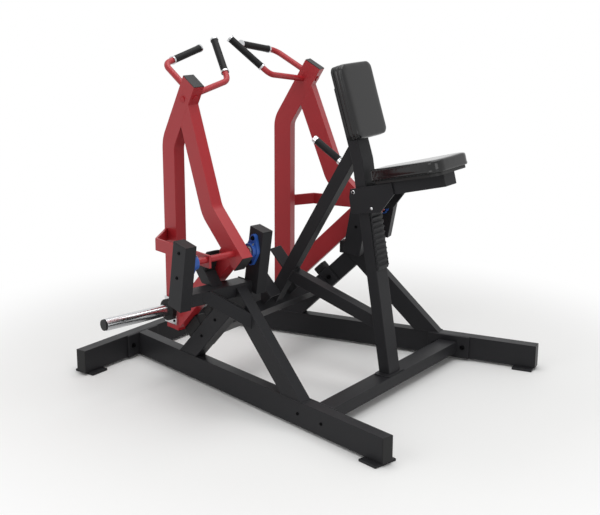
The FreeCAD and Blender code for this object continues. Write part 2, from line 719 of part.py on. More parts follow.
strut_turn = (f"rotation(vector(0; 0; 1); 0 - {text_of(S.strut_turn)})"
              f" * rotation(vector(0; 1; 0); {text_of(S.strut_drop)})")


def strut_box(label, inset, overrun):
    """The strut's box; its centre line starts overrun short of the pivot beam's face."""
    local = (f"placement(vector(0 - {text_of(overrun)}; {text_of(inset - S.strut_wide / 2)}; "
             f"{text_of(inset - S.strut_tall)}); rotation(vector(0; 0; 1); 0))")
    place = at(SIDE, beam_front, S.strut_out, beam_top, strut_turn) + " * " + local
    size = (S.strip_reach / 2, S.strut_wide - 2 * inset, S.strut_tall - 2 * inset)
    return box(label, place, size)


strut_solid = cut("StrutTube", strut_box("StrutOuter", ZERO, S.side_depth),
                  strut_box("StrutInner", S.wall, S.side_depth + S.wall))
strut_room = box("StrutRoom", at(SIDE, beam_front, 0, rail_top),
                 (S.outer_post_out, S.outer_post_out, beam_top - rail_top))
keep_pair("struts", [common("Strut", strut_solid, strut_room)])

# ---------------------------------------------------------------- bearings
pivot = step(post_middle, post_way, S.pivot_height)
lobe_cos = (S.bearing_centre_radius - S.bearing_lobe_radius) / S.bearing_bolt_offset
lobe_sin = Formula(f"sqrt(1 - {text_of(lobe_cos)} * {text_of(lobe_cos)})")


def bearing_spot(lengthwise, sideways):
    return step(step(pivot, post_way, lengthwise), post_way + 90, sideways)


near_a = S.bearing_centre_radius * lobe_cos
near_b = S.bearing_centre_radius * lobe_sin
far_a = S.bearing_bolt_offset + S.bearing_lobe_radius * lobe_cos
far_b = S.bearing_lobe_radius * lobe_sin
bearing_corners = [bearing_spot(a, b) for a, b in (
    (near_a, near_b), (-near_a, near_b), (-far_a, far_b), (-far_a, -far_b),
    (-near_a, -near_b), (near_a, -near_b), (far_a, -far_b), (far_a, far_b))]


def round_at(label, spot, out, radius, depth, lift=0):
    """A disc along the pivot direction: from out, lift inboard, depth thick."""
    place = (f"{SIDE} * placement(vector({text_of(spot[0])}; {text_of(out - lift)}; "
             f"{text_of(spot[1])}); {TURN_UP})")
    return rod(label, place, 2 * radius, depth)


def bearing(label, face_out, flange_lift):
    """Two-bolt flange bearing that fills face_out inboard by its depth."""
    flange = make_body(label + "Plate", upright(SIDE, face_out - flange_lift))
    pad(flange, label + "PlatePad", bearing_corners, S.bearing_flange)
    middle = round_at(label + "Middle", pivot, face_out, S.bearing_centre_radius,
                      S.bearing_flange, flange_lift)
    lobes = [round_at(f"{label}Lobe{end}", bearing_spot(S.bearing_bolt_offset * end, ZERO),
                      face_out, S.bearing_lobe_radius, S.bearing_flange, flange_lift)
             for end in (-1, 1)]
    boss = round_at(label + "Boss", pivot, face_out, S.bearing_boss_diameter / 2, S.bearing_depth)
    solid = fuse(label + "Solid", [flange, middle, boss] + lobes)
    bore = round_at(label + "Bore", pivot, face_out, S.shaft_diameter / 2 + S.shaft_clearance,
                    S.bearing_depth)
    return cut(label, solid, bore)


keep_pair("outer_bearings", [bearing("OuterBearing", S.outer_post_out, ZERO)])
keep_pair("inner_bearings", [bearing("InnerBearing", S.bearing_depth - S.inner_post_in,
                                     S.bearing_depth - S.bearing_flange)])

# ---------------------------------------------------------------- arm
lean_way = 90 - S.arm_lean
arm_front = S.arm_rear + S.arm_depth
bend_rear = (S.arm_rear, S.arm_bend_up)
head_rear = step(bend_rear, lean_way, S.arm_head_length)
head_front = step(head_rear, lean_way - 90, S.arm_depth)
bend_front = meet((arm_front, S.arm_foot_up), 90, head_front, lean_way)


def inset_line(point, angle):
    return step(point, angle + 90, S.wall)


rear_inside = [
    (S.arm_rear + S.wall, S.arm_foot_up - S.wall),
    (arm_front - S.wall, S.arm_foot_up - S.wall),
    meet((arm_front - S.wall, S.arm_foot_up), 90, inset_line(head_front, lean_way), lean_way),
    step(inset_line(head_front, lean_way), lean_way, S.wall),
    step(step(head_rear, lean_way - 90, S.wall), lean_way, S.wall),
    meet((S.arm_rear + S.wall, S.arm_foot_up), 90, step(head_rear, lean_way - 90, S.wall), lean_way)]
arm_rear_tube = tube("ArmRear", upright(SIDE, S.arm_face_out),
                     [(S.arm_rear, S.arm_foot_up), (arm_front, S.arm_foot_up), bend_front,
                      head_front, head_rear, bend_rear], rear_inside, S.arm_width)
bend_tube(arm_rear_tube, "ArmBend", bend_front, bend_rear, rear_inside[2], rear_inside[-1],
          S.arm_bend_radius, S.arm_depth)

knee = (pivot[0] - S.fork_knee_behind, pivot[1] + S.fork_knee_above)
upper_way = -S.fork_upper_slope
lower_way = -S.fork_lower_slope
upper_back = step(knee, upper_way - 90, S.arm_depth)
lower_back = step(knee, lower_way - 90, S.arm_depth)
knee_back = meet(upper_back, upper_way, lower_back, lower_way)
fork_end = step(knee, lower_way, S.fork_end_length)
fork_end_back = step(fork_end, lower_way - 90, S.arm_depth)
fork_top = meet(knee, upper_way, head_front, lean_way)
fork_top_back = meet(upper_back, upper_way, head_front, lean_way)
upper_in = step(knee, upper_way - 90, S.wall)
upper_back_in = step(upper_back, upper_way + 90, S.wall)
lower_in = step(knee, lower_way - 90, S.wall)
lower_back_in = step(lower_back, lower_way + 90, S.wall)
fork_inside = [
    step(upper_in, upper_way, -S.strip_reach / 2), meet(upper_in, upper_way, lower_in, lower_way),
    step(lower_in, lower_way, S.fork_end_length + S.wall),
    step(lower_back_in, lower_way, S.fork_end_length + S.wall),
    meet(upper_back_in, upper_way, lower_back_in, lower_way),
    step(upper_back_in, upper_way, -S.strip_reach / 2)]
fork = tube("Fork", upright(SIDE, S.arm_face_out),
            [fork_top, knee, fork_end, fork_end_back, knee_back, fork_top_back],
            fork_inside, S.arm_width)
bend_tube(fork, "ForkBend", knee, knee_back, fork_inside[1], fork_inside[-2],
          S.arm_bend_radius, S.arm_depth)
shaft_start = S.outer_post_out - S.bearing_gap
shaft_length = S.outer_post_out + S.inner_post_in - 2 * S.bearing_gap
fork_bore = round_at("ForkBore", pivot, S.arm_face_out, S.shaft_diameter / 2, S.arm_width)
keep_both("arm_front_tube", cut("ForkDrilled", fork, fork_bore))
keep_both("arm_shaft", round_at("Shaft", pivot, shaft_start, S.shaft_diameter / 2, shaft_length))

link_low = (arm_front, arm_front - S.link_down)
link_top = (arm_front, arm_front - S.link_down + S.link_depth / cos(S.brace_angle))
link = straight_tube(
    "Link", upright(SIDE, S.arm_face_out),
    [link_low, meet(link_low, S.brace_angle, lower_back, lower_way),
     meet(link_top, S.brace_angle, lower_back, lower_way), link_top],
    link_low, S.brace_angle, S.link_depth, S.arm_width)
keep_both("arm_link", link)

cap_spots = ((head_front, lean_way), (fork_end_back, lower_way),
             ((S.arm_rear, S.arm_foot_up), Formula(-90)))
arm_caps = [plate(f"ArmCap{index}", upright(SIDE, S.arm_face_out),
                  beam_corners(spot, way, S.arm_depth, S.arm_cap_thick), S.arm_width)
            for index, (spot, way) in enumerate(cap_spots)]

outrigger_bend = (S.outrigger_bend, S.outrigger_out + S.outrigger_thick)
outrigger_end = pivot[0] + S.outrigger_past
outrigger_inner = step(outrigger_bend, S.outrigger_turn - 90, S.outrigger_thick)
outrigger = make_body("Outrigger", level(SIDE, S.outrigger_up))
pad(outrigger, "OutriggerPad",
    [meet(outrigger_bend, S.outrigger_turn, (0, S.arm_face_out), 0), outrigger_bend,
     (outrigger_end, S.outrigger_out + S.outrigger_thick), (outrigger_end, S.outrigger_out),
     meet(outrigger_inner, S.outrigger_turn, (0, S.outrigger_out), 0),
     meet(outrigger_inner, S.outrigger_turn, (0, S.arm_face_out), 0)], S.outrigger_tall)
outrigger_bore = round_at("OutriggerBore", pivot, S.outrigger_out + S.outrigger_thick,
                          S.shaft_diameter / 2, S.outrigger_thick)
keep_both("arm_outrigger", cut("OutriggerDrilled", outrigger, outrigger_bore))

horn_spot = (S.arm_rear + S.arm_depth / 2, S.horn_up)
horn_face = S.arm_face_out + S.horn_plate_thick
horn_plate = box("HornPlate", at(SIDE, horn_spot[0] - S.horn_plate_wide / 2, S.arm_face_out,
                                 S.horn_plate_up),
                 (S.horn_plate_wide, S.horn_plate_thick, S.horn_plate_tall))
horn_root = round_at("HornRoot", horn_spot, horn_face + S.horn_root_length,
                     S.horn_root_diameter / 2, S.horn_root_length)
horn_bar = round_at("HornBar", horn_spot, horn_face + S.horn_length, S.horn_diameter / 2,
                    S.horn_length - S.horn_root_length)
keep_both("weight_horn", fuse("Horn", [horn_plate, horn_root, horn_bar]))
horn_cap = round_at("HornCap", horn_spot, horn_face + S.horn_length + S.horn_cap_thick,
                    S.horn_cap_diameter / 2, S.horn_cap_thick)
keep_both("arm_caps", group("ArmCaps", arm_caps + [horn_cap]))
cushion = cut("Cushion",
              round_at("CushionSolid", horn_spot, horn_face + S.cushion_thick,
                       S.cushion_diameter / 2, S.cushion_thick),
              round_at("CushionBore", horn_spot, horn_face + S.cushion_thick,
                       S.horn_root_diameter / 2, S.cushion_thick))
keep_both("horn_cushion", cushion)

# ---------------------------------------------------------------- handles
def bar_frame(spot, out, heading, rise, roll):
    """X along a handle bar's first leg; its stub's end is the origin."""
    turn = (f"rotation(vector(0; 0; 1); {text_of(heading)})"
            f" * rotation(vector(0; 1; 0); 0 - {text_of(rise)})"
            f" * rotation(vector(1; 0; 0); {text_of(roll)})")
    return at(SIDE, spot[0], out, spot[1], turn) + (
        f" * placement(vector(0 - {text_of(S.bar_stub)}; 0; 0); rotation(vector(0; 0; 1); 0))")


def along_bar(place, first, turn, distance):
    """A placement on the bar's second leg, distance past the bend's corner, Z along the bar."""
    spot = step((first, ZERO), turn, distance)
    return (f"{place} * placement(vector({text_of(spot[0])}; {text_of(spot[1])}; 0); "
            f"rotation(vector(0; 0; 1); {text_of(turn)}) * rotation(vector(0; 1; 0); 90))")


high_spot = step(head_front, lean_way, -S.high_down)
high_place = bar_frame(high_spot, S.high_out, Formula(180), S.arm_lean, S.high_roll)
low_spot = step(step(head_front, lean_way, -S.low_down), lean_way + 90, S.low_deep)
low_place = bar_frame(low_spot, S.arm_face_out, -S.low_heading, S.low_rise, S.low_roll)
bars = []
grips = []
collars = []
for name, place, first, second, turn in (
        ("HighHandle", high_place, S.high_reach + S.bar_stub, S.high_swing, S.high_turn),
        ("LowHandle", low_place, S.low_reach + S.bar_stub, S.low_swing, S.low_turn)):
    bar_end = second - S.collar_length
    bars.append(bent_bar(name, place, first, bar_end, turn))
    grip_at = bar_end - S.grip_length
    grips.append(sleeve(name + "Grip", along_bar(place, first, turn, grip_at), S.grip_diameter,
                        S.handle_diameter, S.grip_length))
    collars.append(sleeve(name + "Collar", along_bar(place, first, turn, grip_at - S.collar_length),
                          S.collar_diameter, S.handle_diameter, S.collar_length))
    collars.append(rod(name + "EndPlug", along_bar(place, first, turn, bar_end),
                       S.collar_diameter, S.collar_length))
head_bores = fuse("HeadBores", [
    rod(f"HeadBore{index}", f"{place} * placement(vector(0; 0; 0); rotation(vector(0; 1; 0); 90))",
        S.handle_diameter, S.arm_depth + 2 * S.bar_stub)
    for index, place in enumerate((high_place, low_place))])
keep_both("arm_rear_tube", cut("ArmRearDrilled", arm_rear_tube, head_bores))
keep_both("handle_bars", group("HandleBars", bars))
keep_both("handle_grips", group("HandleGrips", grips))
keep_both("grip_collars", group("GripCollars", collars))

# ---------------------------------------------------------------- rests, stops and foot rests
rest_depth = ((S.brace_foot - rail_top) - S.link_down) * sin(S.brace_angle) - S.rest_gap
rest_corner = meet((arm_front + S.rest_gap, ZERO), 90,
                   step((S.brace_foot, rail_top), S.brace_angle + 90, rest_depth), S.brace_angle)
rest_foot = step(rest_corner, S.brace_angle - 90, rest_depth)
rest = plate("RestBlock", upright(SIDE, 0),
             beam_corners(rest_foot, S.brace_angle, rest_depth, S.rest_length), S.rail_width)
bumper_foot = meet((S.bumper_along, ZERO), 90, (S.brace_foot, rail_top), S.brace_angle)
bumper = plate("Bumper", upright(SIDE, 0),
               beam_corners(bumper_foot, S.brace_angle, S.bumper_thick, S.bumper_length),
               S.rail_width)
keep_pair("rest_blocks", [rest, bumper])

stop_way = 180 - S.stop_lean
stop_front = (S.stop_foot_front, beam_top)
stop_end = step(stop_front, stop_way, S.stop_length)
stop_back = step(stop_front, stop_way + 90, S.stop_depth)
stop_corners = [stop_front, stop_end, step(stop_end, stop_way + 90, S.stop_depth),
                meet(stop_back, stop_way, stop_front, 0)]
keep_pair("stop_bars", [straight_tube("StopTube", upright(SIDE, S.stop_out), stop_corners,
                                      stop_front, stop_way, S.stop_depth, S.stop_width)])
buffer_foot = step(stop_end, stop_way, -S.buffer_long)
buffer_top = step(stop_end, S.buffer_side_slope, S.buffer_tall)
buffer_corners = [buffer_foot,
                  meet(buffer_foot, S.buffer_back_slope, buffer_top, S.buffer_top_slope),
                  buffer_top, stop_end]
keep_pair("stop_buffers", [plate("Buffer", upright(SIDE, S.stop_out), buffer_corners,
                                 S.stop_width)])

# ---------------------------------------------------------------- centre column, diagonal, stay
crossbeam_top = S.foot_thick + S.front_beam_lift + S.front_beam_tall
column_way = 90 + S.column_lean
tilt_way = 90 + S.chest_pad_tilt
column_rear = (S.column_foot, crossbeam_top)
column_front = (S.column_foot + S.column_depth / cos(S.column_lean), crossbeam_top)
pad_face = (S.chest_pad_along, S.chest_pad_up)
board_back = step(pad_face, S.chest_pad_tilt, -S.chest_pad_thick - S.seat_board_thick)
column_back = step(board_back, S.chest_pad_tilt, -S.column_depth)
column_top = step(board_back, tilt_way, S.chest_pad_tall / 2 - S.side_depth)
column_top_back = step(column_back, tilt_way, S.chest_pad_tall / 2 - S.side_depth)
column_corners = [column_rear, column_front,
                  meet(column_front, column_way, board_back, tilt_way), column_top,
                  column_top_back, meet(column_rear, column_way, column_back, tilt_way)]
front_in = (column_front[0] - S.wall / cos(S.column_lean), crossbeam_top)
rear_in = (column_rear[0] + S.wall / cos(S.column_lean), crossbeam_top)
board_in = step(board_back, S.chest_pad_tilt, -S.wall)
back_in = step(column_back, S.chest_pad_tilt, S.wall)
column_inside = [step(rear_in, column_way, -S.wall), step(front_in, column_way, -S.wall),
                 meet(front_in, column_way, board_in, tilt_way),
                 step(board_in, tilt_way, S.chest_pad_tall / 2 - S.side_depth - S.wall),
                 step(back_in, tilt_way, S.chest_pad_tall / 2 - S.side_depth - S.wall),
                 meet(rear_in, column_way, back_in, tilt_way)]
column = tube("Column", upright(CENTRE, S.column_width / 2), column_corners, column_inside,
              S.column_width)
bend_tube(column, "ColumnBend", column_corners[-1], column_corners[2], column_inside[-1],
          column_inside[2], S.column_bend_radius, S.column_depth)
keep("seat_column", column)

diagonal_back = (S.diagonal_along, S.diagonal_up)
diagonal_front = step(diagonal_back, S.diagonal_slope - 90, S.diagonal_depth)
mid_top = step(mid_middle, S.brace_angle, S.side_depth / 2)
mid_top_way = S.brace_angle + 90
diagonal_foot = meet(diagonal_front, S.diagonal_slope, mid_top, mid_top_way)
diagonal = straight_tube(
    "Diagonal", upright(CENTRE, stub_half),
    [diagonal_foot, meet(diagonal_front, S.diagonal_slope, column_back, tilt_way),
     meet(diagonal_back, S.diagonal_slope, column_back, tilt_way),
     meet(diagonal_back, S.diagonal_slope, mid_top, mid_top_way)],
    diagonal_foot, S.diagonal_slope, S.diagonal_depth, S.centre_width)
keep("diagonal", diagonal)

stay_way = -S.stay_slope
stay_top = (S.stay_along, S.stay_up)
stay_low = step(stay_top, stay_way - 90, S.diagonal_depth)
stay_foot = meet(stay_low, stay_way, diagonal_front, S.diagonal_slope)
stay = straight_tube(
    "Stay", upright(CENTRE, stub_half),
    [stay_foot, meet(stay_low, stay_way, column_rear, column_way),
     meet(stay_top, stay_way, column_rear, column_way),
     meet(stay_top, stay_way, diagonal_front, S.diagonal_slope)],
    stay_foot, stay_way, S.diagonal_depth, S.centre_width)
keep("stay", stay)

# ---------------------------------------------------------------- foot plates on the mid crossbeam
footplate_way = 180 - S.footplate_slope
footplate_low = (S.footplate_along, S.footplate_up)
footplate = plate("FootPlate", upright(CENTRE, S.footplate_out),
                  beam_corners(footplate_low, footplate_way, S.footplate_thick, S.footplate_long),
                  S.footplate_wide)
gusset_low = step(step(footplate_low, footplate_way + 90, S.footplate_thick),
                  footplate_way, S.gusset_start)
beam_end = step(mid_middle, S.brace_angle, S.side_depth / 2)
gusset = plate("FootPlateGusset",
               upright(CENTRE, S.footplate_out - (S.footplate_wide - S.footplate_thick) / 2),
               [beam_end, gusset_low, step(gusset_low, footplate_way, S.gusset_long),
                step(beam_end, S.brace_angle + 90, S.centre_width / 2)], S.footplate_thick)
keep_pair("footrest_bars", [fuse("FootPlateSet", [footplate, gusset])])

# ---------------------------------------------------------------- rack on the column
rack_foot = step(column_front, column_way, S.rack_start)
rack_corners = [rack_foot]
for tooth in range(int(number(S.rack_teeth))):
    low = step(rack_foot, column_way, S.rack_pitch * tooth)
    root = step(low, S.column_lean, S.rack_thick)
    tip = step(step(low, column_way, S.tooth_rise), S.column_lean,
               S.rack_thick + S.tooth_depth)
    rack_corners += [root, tip]
rack_end = step(rack_foot, column_way, S.rack_pitch * S.rack_teeth)
rack_corners += [step(rack_end, S.column_lean, S.rack_thick), rack_end]
keep("seat_rack", plate("Rack", upright(CENTRE, S.column_width / 2), rack_corners, S.column_width))

# ---------------------------------------------------------------- seat carriage
plate_face = S.column_width / 2 + S.plate_gap
plate_steps = ((S.plate_rear_top_along, S.plate_rear_top_up),
               (S.plate_tip_top_along, S.plate_tip_top_up), (S.plate_tip_wide, ZERO),
               (S.plate_heel_along, S.plate_heel_up), (S.plate_heel_low_along, S.plate_heel_low_up),
               (S.plate_low_along, S.plate_low_up), (S.plate_rear_low_along, S.plate_rear_low_up),
               (S.plate_rear_along, S.plate_rear_up))
plate_corners = [(S.plate_tip_along + x, S.plate_tip_up + y) for x, y in plate_steps]
carriage_plate = plate("CarriagePlate", upright(CENTRE, plate_face + S.plate_thick),
                       plate_corners, S.plate_thick)
pin_way = S.pin_diameter / 2 + S.pin_gap
rear_pin = meet(step(column_rear, S.column_lean, -pin_way), column_way, (0, S.rear_pin_up), 0)
front_pin = meet(step(column_front, S.column_lean, S.rack_thick + S.tooth_depth + pin_way),
                 column_way, (0, S.front_pin_up), 0)


def cross_rod(label, spot, diameter, half_length):
    place = (f"{CENTRE} * placement(vector({text_of(spot[0])}; {text_of(half_length)}; "
             f"{text_of(spot[1])}); {TURN_UP})")
    return rod(label, place, diameter, 2 * half_length)


plate_bores = fuse("PlateBores", [
    cross_rod("RearPinBore", rear_pin, S.pin_diameter, plate_face + 2 * S.plate_thick),
    cross_rod("FrontPinBore", front_pin, S.pin_diameter, plate_face + 2 * S.plate_thick)])
keep_pair("seat_carriage_plates", [cut("CarriagePlateDrilled", carriage_plate, plate_bores)])
pins = [cross_rod(f"CarriagePin{index}", spot, S.pin_diameter, plate_face + S.plate_thick)
        for index, spot in enumerate((rear_pin, front_pin))]
keep("seat_carriage_pins", group("CarriagePins", pins))

seat_low = (S.seat_tube_along, S.seat_tube_up)
seat_end = step(seat_low, S.seat_tube_slope, S.seat_tube_length)
seat_corners = beam_corners(seat_low, S.seat_tube_slope, S.seat_tube_depth, S.seat_tube_length)
seat_hollow = step(step(seat_low, S.seat_tube_slope, -S.wall), S.seat_tube_slope + 90, S.wall)
seat_inside = beam_corners(seat_hollow, S.seat_tube_slope, S.seat_tube_depth - 2 * S.wall,
                           S.seat_tube_length)
keep("seat_tube", tube("SeatTube", upright(CENTRE, plate_face), seat_corners, seat_inside,
                       2 * plate_face))
seat_turn = f"rotation(vector(0; 1; 0); 0 - {text_of(S.seat_tube_slope)})"
board_end = step(step(seat_low, S.seat_tube_slope, S.seat_tube_length + S.seat_overhang),
                 S.seat_tube_slope + 90, S.seat_tube_depth)


def taper(label, lift, thick, inset):
    """A tapered slab on the seat tube, wide at the user's end."""
    place = at(CENTRE, board_end[0], ZERO, board_end[1], seat_turn) + (
        f" * placement(vector(0; 0; {text_of(lift)}); rotation(vector(0; 0; 1); 0))")
    body = make_body(label, place)
    far = S.seat_pad_narrow / 2 - inset
    near = S.seat_pad_wide / 2 - inset
    length = S.seat_pad_length
    corners = [(inset - length, -far), (-inset, -near), (-inset, near), (inset - length, far)]
    pad(body, label + "Pad", corners, thick)
    round_edges(body, label + "UserCorners", corners[1:3], S.seat_pad_round - inset)
    round_edges(body, label + "RearCorners", [corners[0], corners[3]],
                S.seat_pad_rear_round - inset)
    return body


keep("seat_board", taper("SeatBoard", ZERO, S.seat_board_thick, S.board_inset))
keep("seat_pad", taper("SeatPad", S.seat_board_thick + S.pad_gap, S.seat_pad_thick, ZERO))

# ---------------------------------------------------------------- chest pad
chest_turn = f"rotation(vector(0; 1; 0); 0 - {text_of(S.chest_pad_tilt)})"


def chest_slab(label, depth_behind, thick, inset):
    """A slab parallel to the chest pad's face; its front lies depth_behind the face."""
    half = S.chest_pad_wide / 2 - inset
    tall = S.chest_pad_tall / 2 - inset
    place = at(CENTRE, pad_face[0], ZERO, pad_face[1], chest_turn) + (
        f" * placement(vector(0 - {text_of(depth_behind + thick)}; 0; 0); "
        "rotation(vector(0; 1; 0); 90))")
    corners = [(-tall, -half), (tall, -half), (tall, half), (-tall, half)]
    slab = plate(label, place, corners, thick)
    round_edges(slab, label + "Corners", corners, S.chest_pad_round - inset)
    return slab


keep("chest_pad", chest_slab("ChestPad", ZERO, S.chest_pad_thick - S.pad_gap, ZERO))
keep("chest_board", chest_slab("ChestBoard", S.chest_pad_thick, S.seat_board_thick,
                               S.chest_board_inset))

# ---------------------------------------------------------------- support handle
handle_way = S.diagonal_slope + 90
handle_root = meet(diagonal_back, S.diagonal_slope, (0, S.support_handle_up), 0)


def along_support(label, start, diameter, length):
    spot = step(handle_root, handle_way, start)
    turn = f"rotation(vector(0; 1; 0); 90 - {text_of(handle_way)})"
    return rod(label, at(CENTRE, spot[0], ZERO, spot[1], turn), diameter, length)


grip_start = 2 * S.collar_length
support_bar = along_support("SupportBar", ZERO, S.support_bar_diameter,
                            S.support_handle_length)
support_collar = along_support("SupportCollar", ZERO, S.collar_diameter, grip_start)
support_tip = along_support("SupportTip", S.support_handle_length, S.grip_diameter,
                            2 * S.collar_length)
keep("support_handle", fuse("SupportHandle", [support_bar, support_collar, support_tip]))
support_grip = cut("SupportGripDrilled",
                   along_support("SupportGrip", grip_start, S.grip_diameter,
                                 S.support_handle_length - grip_start),
                   along_support("SupportGripBore", grip_start, S.support_bar_diameter,
                                 S.support_handle_length - grip_start))
keep("support_grip", support_grip)

# ---------------------------------------------------------------- check and write
doc.recompute()
for item in doc.Objects:
    if "Invalid" in item.State or "Error" in item.State:
        raise RuntimeError(f"{item.Label} failed: {item.State}")
os.makedirs("parts", exist_ok=True)
for name, item in nodes.items():
    if item.Shape.isNull() or not item.Shape.isValid():
        raise RuntimeError(f"{name} has no valid shape")
    item.Shape.exportStep(f"parts/{name}.step")
print(len(nodes), "nodes written")
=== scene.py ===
# %% [markdown]
# A seated row machine with two plate-loaded arms, dressed for a studio picture.  The steel frame,
# the arms, the grips and the bearings arrive as finished solids.  They could be modelled again
# here, but then the two would drift apart.  So this file gives them their finishes, rounds their
# edges, and makes what a solid model leaves plain: the upholstered pads, the bolts, the bearings'
# rings and the weld beads.

# %% Load the machine
import json
import math

import bmesh
import bpy
import numpy as np
from mathutils import Matrix, Vector


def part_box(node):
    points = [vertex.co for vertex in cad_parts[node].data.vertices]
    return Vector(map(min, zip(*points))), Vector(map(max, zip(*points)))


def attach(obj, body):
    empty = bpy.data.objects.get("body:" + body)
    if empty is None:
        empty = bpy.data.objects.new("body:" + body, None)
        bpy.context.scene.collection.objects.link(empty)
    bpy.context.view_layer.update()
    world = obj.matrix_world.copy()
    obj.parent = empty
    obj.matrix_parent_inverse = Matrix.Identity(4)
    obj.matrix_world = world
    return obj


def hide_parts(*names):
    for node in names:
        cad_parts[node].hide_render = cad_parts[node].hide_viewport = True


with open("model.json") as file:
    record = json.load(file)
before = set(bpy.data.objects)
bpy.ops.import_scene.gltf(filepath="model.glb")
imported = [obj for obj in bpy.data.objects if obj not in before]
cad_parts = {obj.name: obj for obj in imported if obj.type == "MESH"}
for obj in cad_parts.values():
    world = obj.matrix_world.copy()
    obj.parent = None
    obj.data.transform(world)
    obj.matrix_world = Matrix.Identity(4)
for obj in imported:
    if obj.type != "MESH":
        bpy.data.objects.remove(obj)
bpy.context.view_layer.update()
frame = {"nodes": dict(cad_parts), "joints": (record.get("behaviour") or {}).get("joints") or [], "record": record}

# %% [markdown]
# The user sits at -Y and faces +Y.  The camera stands above the seat, behind the user's left
# shoulder.  A short lens close by would make the near rail look far larger than the far one.  A
# long lens from further off keeps the splayed rails in proportion, so that is the choice here.

# %% Camera
EYE = Vector((-3.8553, -2.7863, 1.8037))
YAW = math.radians(53.737)
PITCH = math.radians(15.313)
ROLL = math.radians(0.2106)
SENSOR_WIDTH = 36
FOCAL_LENGTH = 70.48


def camera_axes(yaw, pitch, roll):
    """Right, up and view directions.

    The view is (sin yaw cos pitch, cos yaw cos pitch, -sin pitch); right and up are square to it
    and then turned about it by the roll.
    """
    view = Vector((math.sin(yaw) * math.cos(pitch), math.cos(yaw) * math.cos(pitch),
                   -math.sin(pitch)))
    right = Vector((math.cos(yaw), -math.sin(yaw), 0))
    up = right.cross(view)
    rolled_right = right * math.cos(roll) + up * math.sin(roll)
    rolled_up = up * math.cos(roll) - right * math.sin(roll)
    return rolled_right, rolled_up, view


camera_data = bpy.data.cameras.new("Camera")
camera_data.sensor_width = SENSOR_WIDTH
camera_data.lens = FOCAL_LENGTH
camera = bpy.data.objects.new("Camera", camera_data)
bpy.context.collection.objects.link(camera)
right, up, view = camera_axes(YAW, PITCH, ROLL)
camera.matrix_world = Matrix.Translation(EYE) @ Matrix((right, up, -view)).transposed().to_4x4()
bpy.context.scene.camera = camera
print("camera at", [round(v, 3) for v in EYE])

# %% [markdown]
# Blender measures in metres and its shaders work in linear light, but a maker thinks in
# millimetres and picks a colour as a hex value.  Converted numbers would be hard to check, so two
# small functions do that, and the numbers below stay as they were measured or picked.

# %% Millimetres and colours
MILLIMETRE = 0.001
BLACK_PAINT = "#29292b"


def linear(hex_colour):
    """sRGB hex to the linear RGBA that a shader wants.

    A channel up to 0.04045 is divided by 12.92; above it, it is ((channel + 0.055) / 1.055) ^ 2.4.
    """
    channels = [int(hex_colour[i:i + 2], 16) / 255 for i in (1, 3, 5)]
    return [c / 12.92 if c <= 0.04045 else ((c + 0.055) / 1.055) ** 2.4 for c in channels] + [1.0]


def per_size(millimetres):
    """A noise scale whose features are about that many millimetres: one over the size in metres."""
    return 1 / (millimetres * MILLIMETRE)


print("black paint in linear light:", [round(c, 4) for c in linear(BLACK_PAINT)])

# %% [markdown]
# A shader tree is a handful of nodes joined by links.  Written out, each node takes several lines.
# One helper adds a node of any kind, sets its options and its inputs, and links any input that is
# given as another node's socket, so a finish below reads as a short list.

# %% Node helper
def add(tree, kind, inputs=None, **options):
    """Adds one node; inputs maps a socket's name or number to a value or to another socket."""
    node = tree.nodes.new(kind)
    for name, value in options.items():
        setattr(node, name, value)
    for name, value in (inputs or {}).items():
        if isinstance(value, bpy.types.NodeSocket):
            tree.links.new(value, node.inputs[name])
        else:
            node.inputs[name].default_value = value
    return node


def new_material(name):
    """An empty material and its node tree."""
    material = bpy.data.materials.new(name)
    material.use_nodes = True
    material.node_tree.nodes.clear()
    return material, material.node_tree


print("helper ready:", add.__name__)

# %% [markdown]
# Powder coat is dry paint powder baked until it flows.  It never lies quite flat: a fine ripple,
# the orange peel, breaks up its highlights.  One flat colour with one roughness would look like
# plastic.  The real colour barely changes, but thin spots and handling leave the gloss a little
# uneven, so the colour and the roughness share a soft, large noise, and the ripple is a bump.

# %% Powder coat
CLOUD_MM = 160


def powder_coat(name, light_hex, deep_hex, gloss_low, gloss_high, shine, peel_mm=5.0,
                peel_height=0.1 * MILLIMETRE):
    """Baked paint: colour = deep + noise * (light - deep), and roughness rises with that noise.

    The noise's middle range, 0.3 to 0.7, spans the roughness from gloss_low to gloss_high.  A
    second noise, peel_mm across and peel_height high, is the orange peel.
    """
    material, tree = new_material(name)
    place = add(tree, "ShaderNodeTexCoord").outputs["Object"]
    cloud = add(tree, "ShaderNodeTexNoise", {"Vector": place, "Scale": per_size(CLOUD_MM),
                                             "Detail": 4.0})
    tone = add(tree, "ShaderNodeMix", {0: cloud.outputs["Fac"], 6: linear(deep_hex),
                                       7: linear(light_hex)}, data_type="RGBA")
    gloss = add(tree, "ShaderNodeMapRange", {"Value": cloud.outputs["Fac"], "From Min": 0.3,
                                             "From Max": 0.7, "To Min": gloss_low,
                                             "To Max": gloss_high})
    peel = add(tree, "ShaderNodeTexNoise", {"Vector": place, "Scale": per_size(peel_mm),
                                            "Detail": 2.0})
    ripple = add(tree, "ShaderNodeBump", {"Height": peel.outputs["Fac"], "Distance": peel_height,
                                          "Strength": 1.0})
    shader = add(tree, "ShaderNodeBsdfPrincipled",
                 {"Base Color": tone.outputs[2], "Roughness": gloss.outputs["Result"],
                  "Normal": ripple.outputs["Normal"], "IOR": 1.5,
                  "Specular IOR Level": shine})
    add(tree, "ShaderNodeOutputMaterial", {"Surface": shader.outputs["BSDF"]})
    return material


# Black satin powder: a broad, weak sheen, so that upright faces stay dark and only faces turned to
# the light go grey.  Real orange peel is 1 to 3 mm across; 5 mm is the least that shows here.
black_coat = powder_coat("black_powder_coat_on_steel", BLACK_PAINT, "#252527", 0.34, 0.44, 0.12)
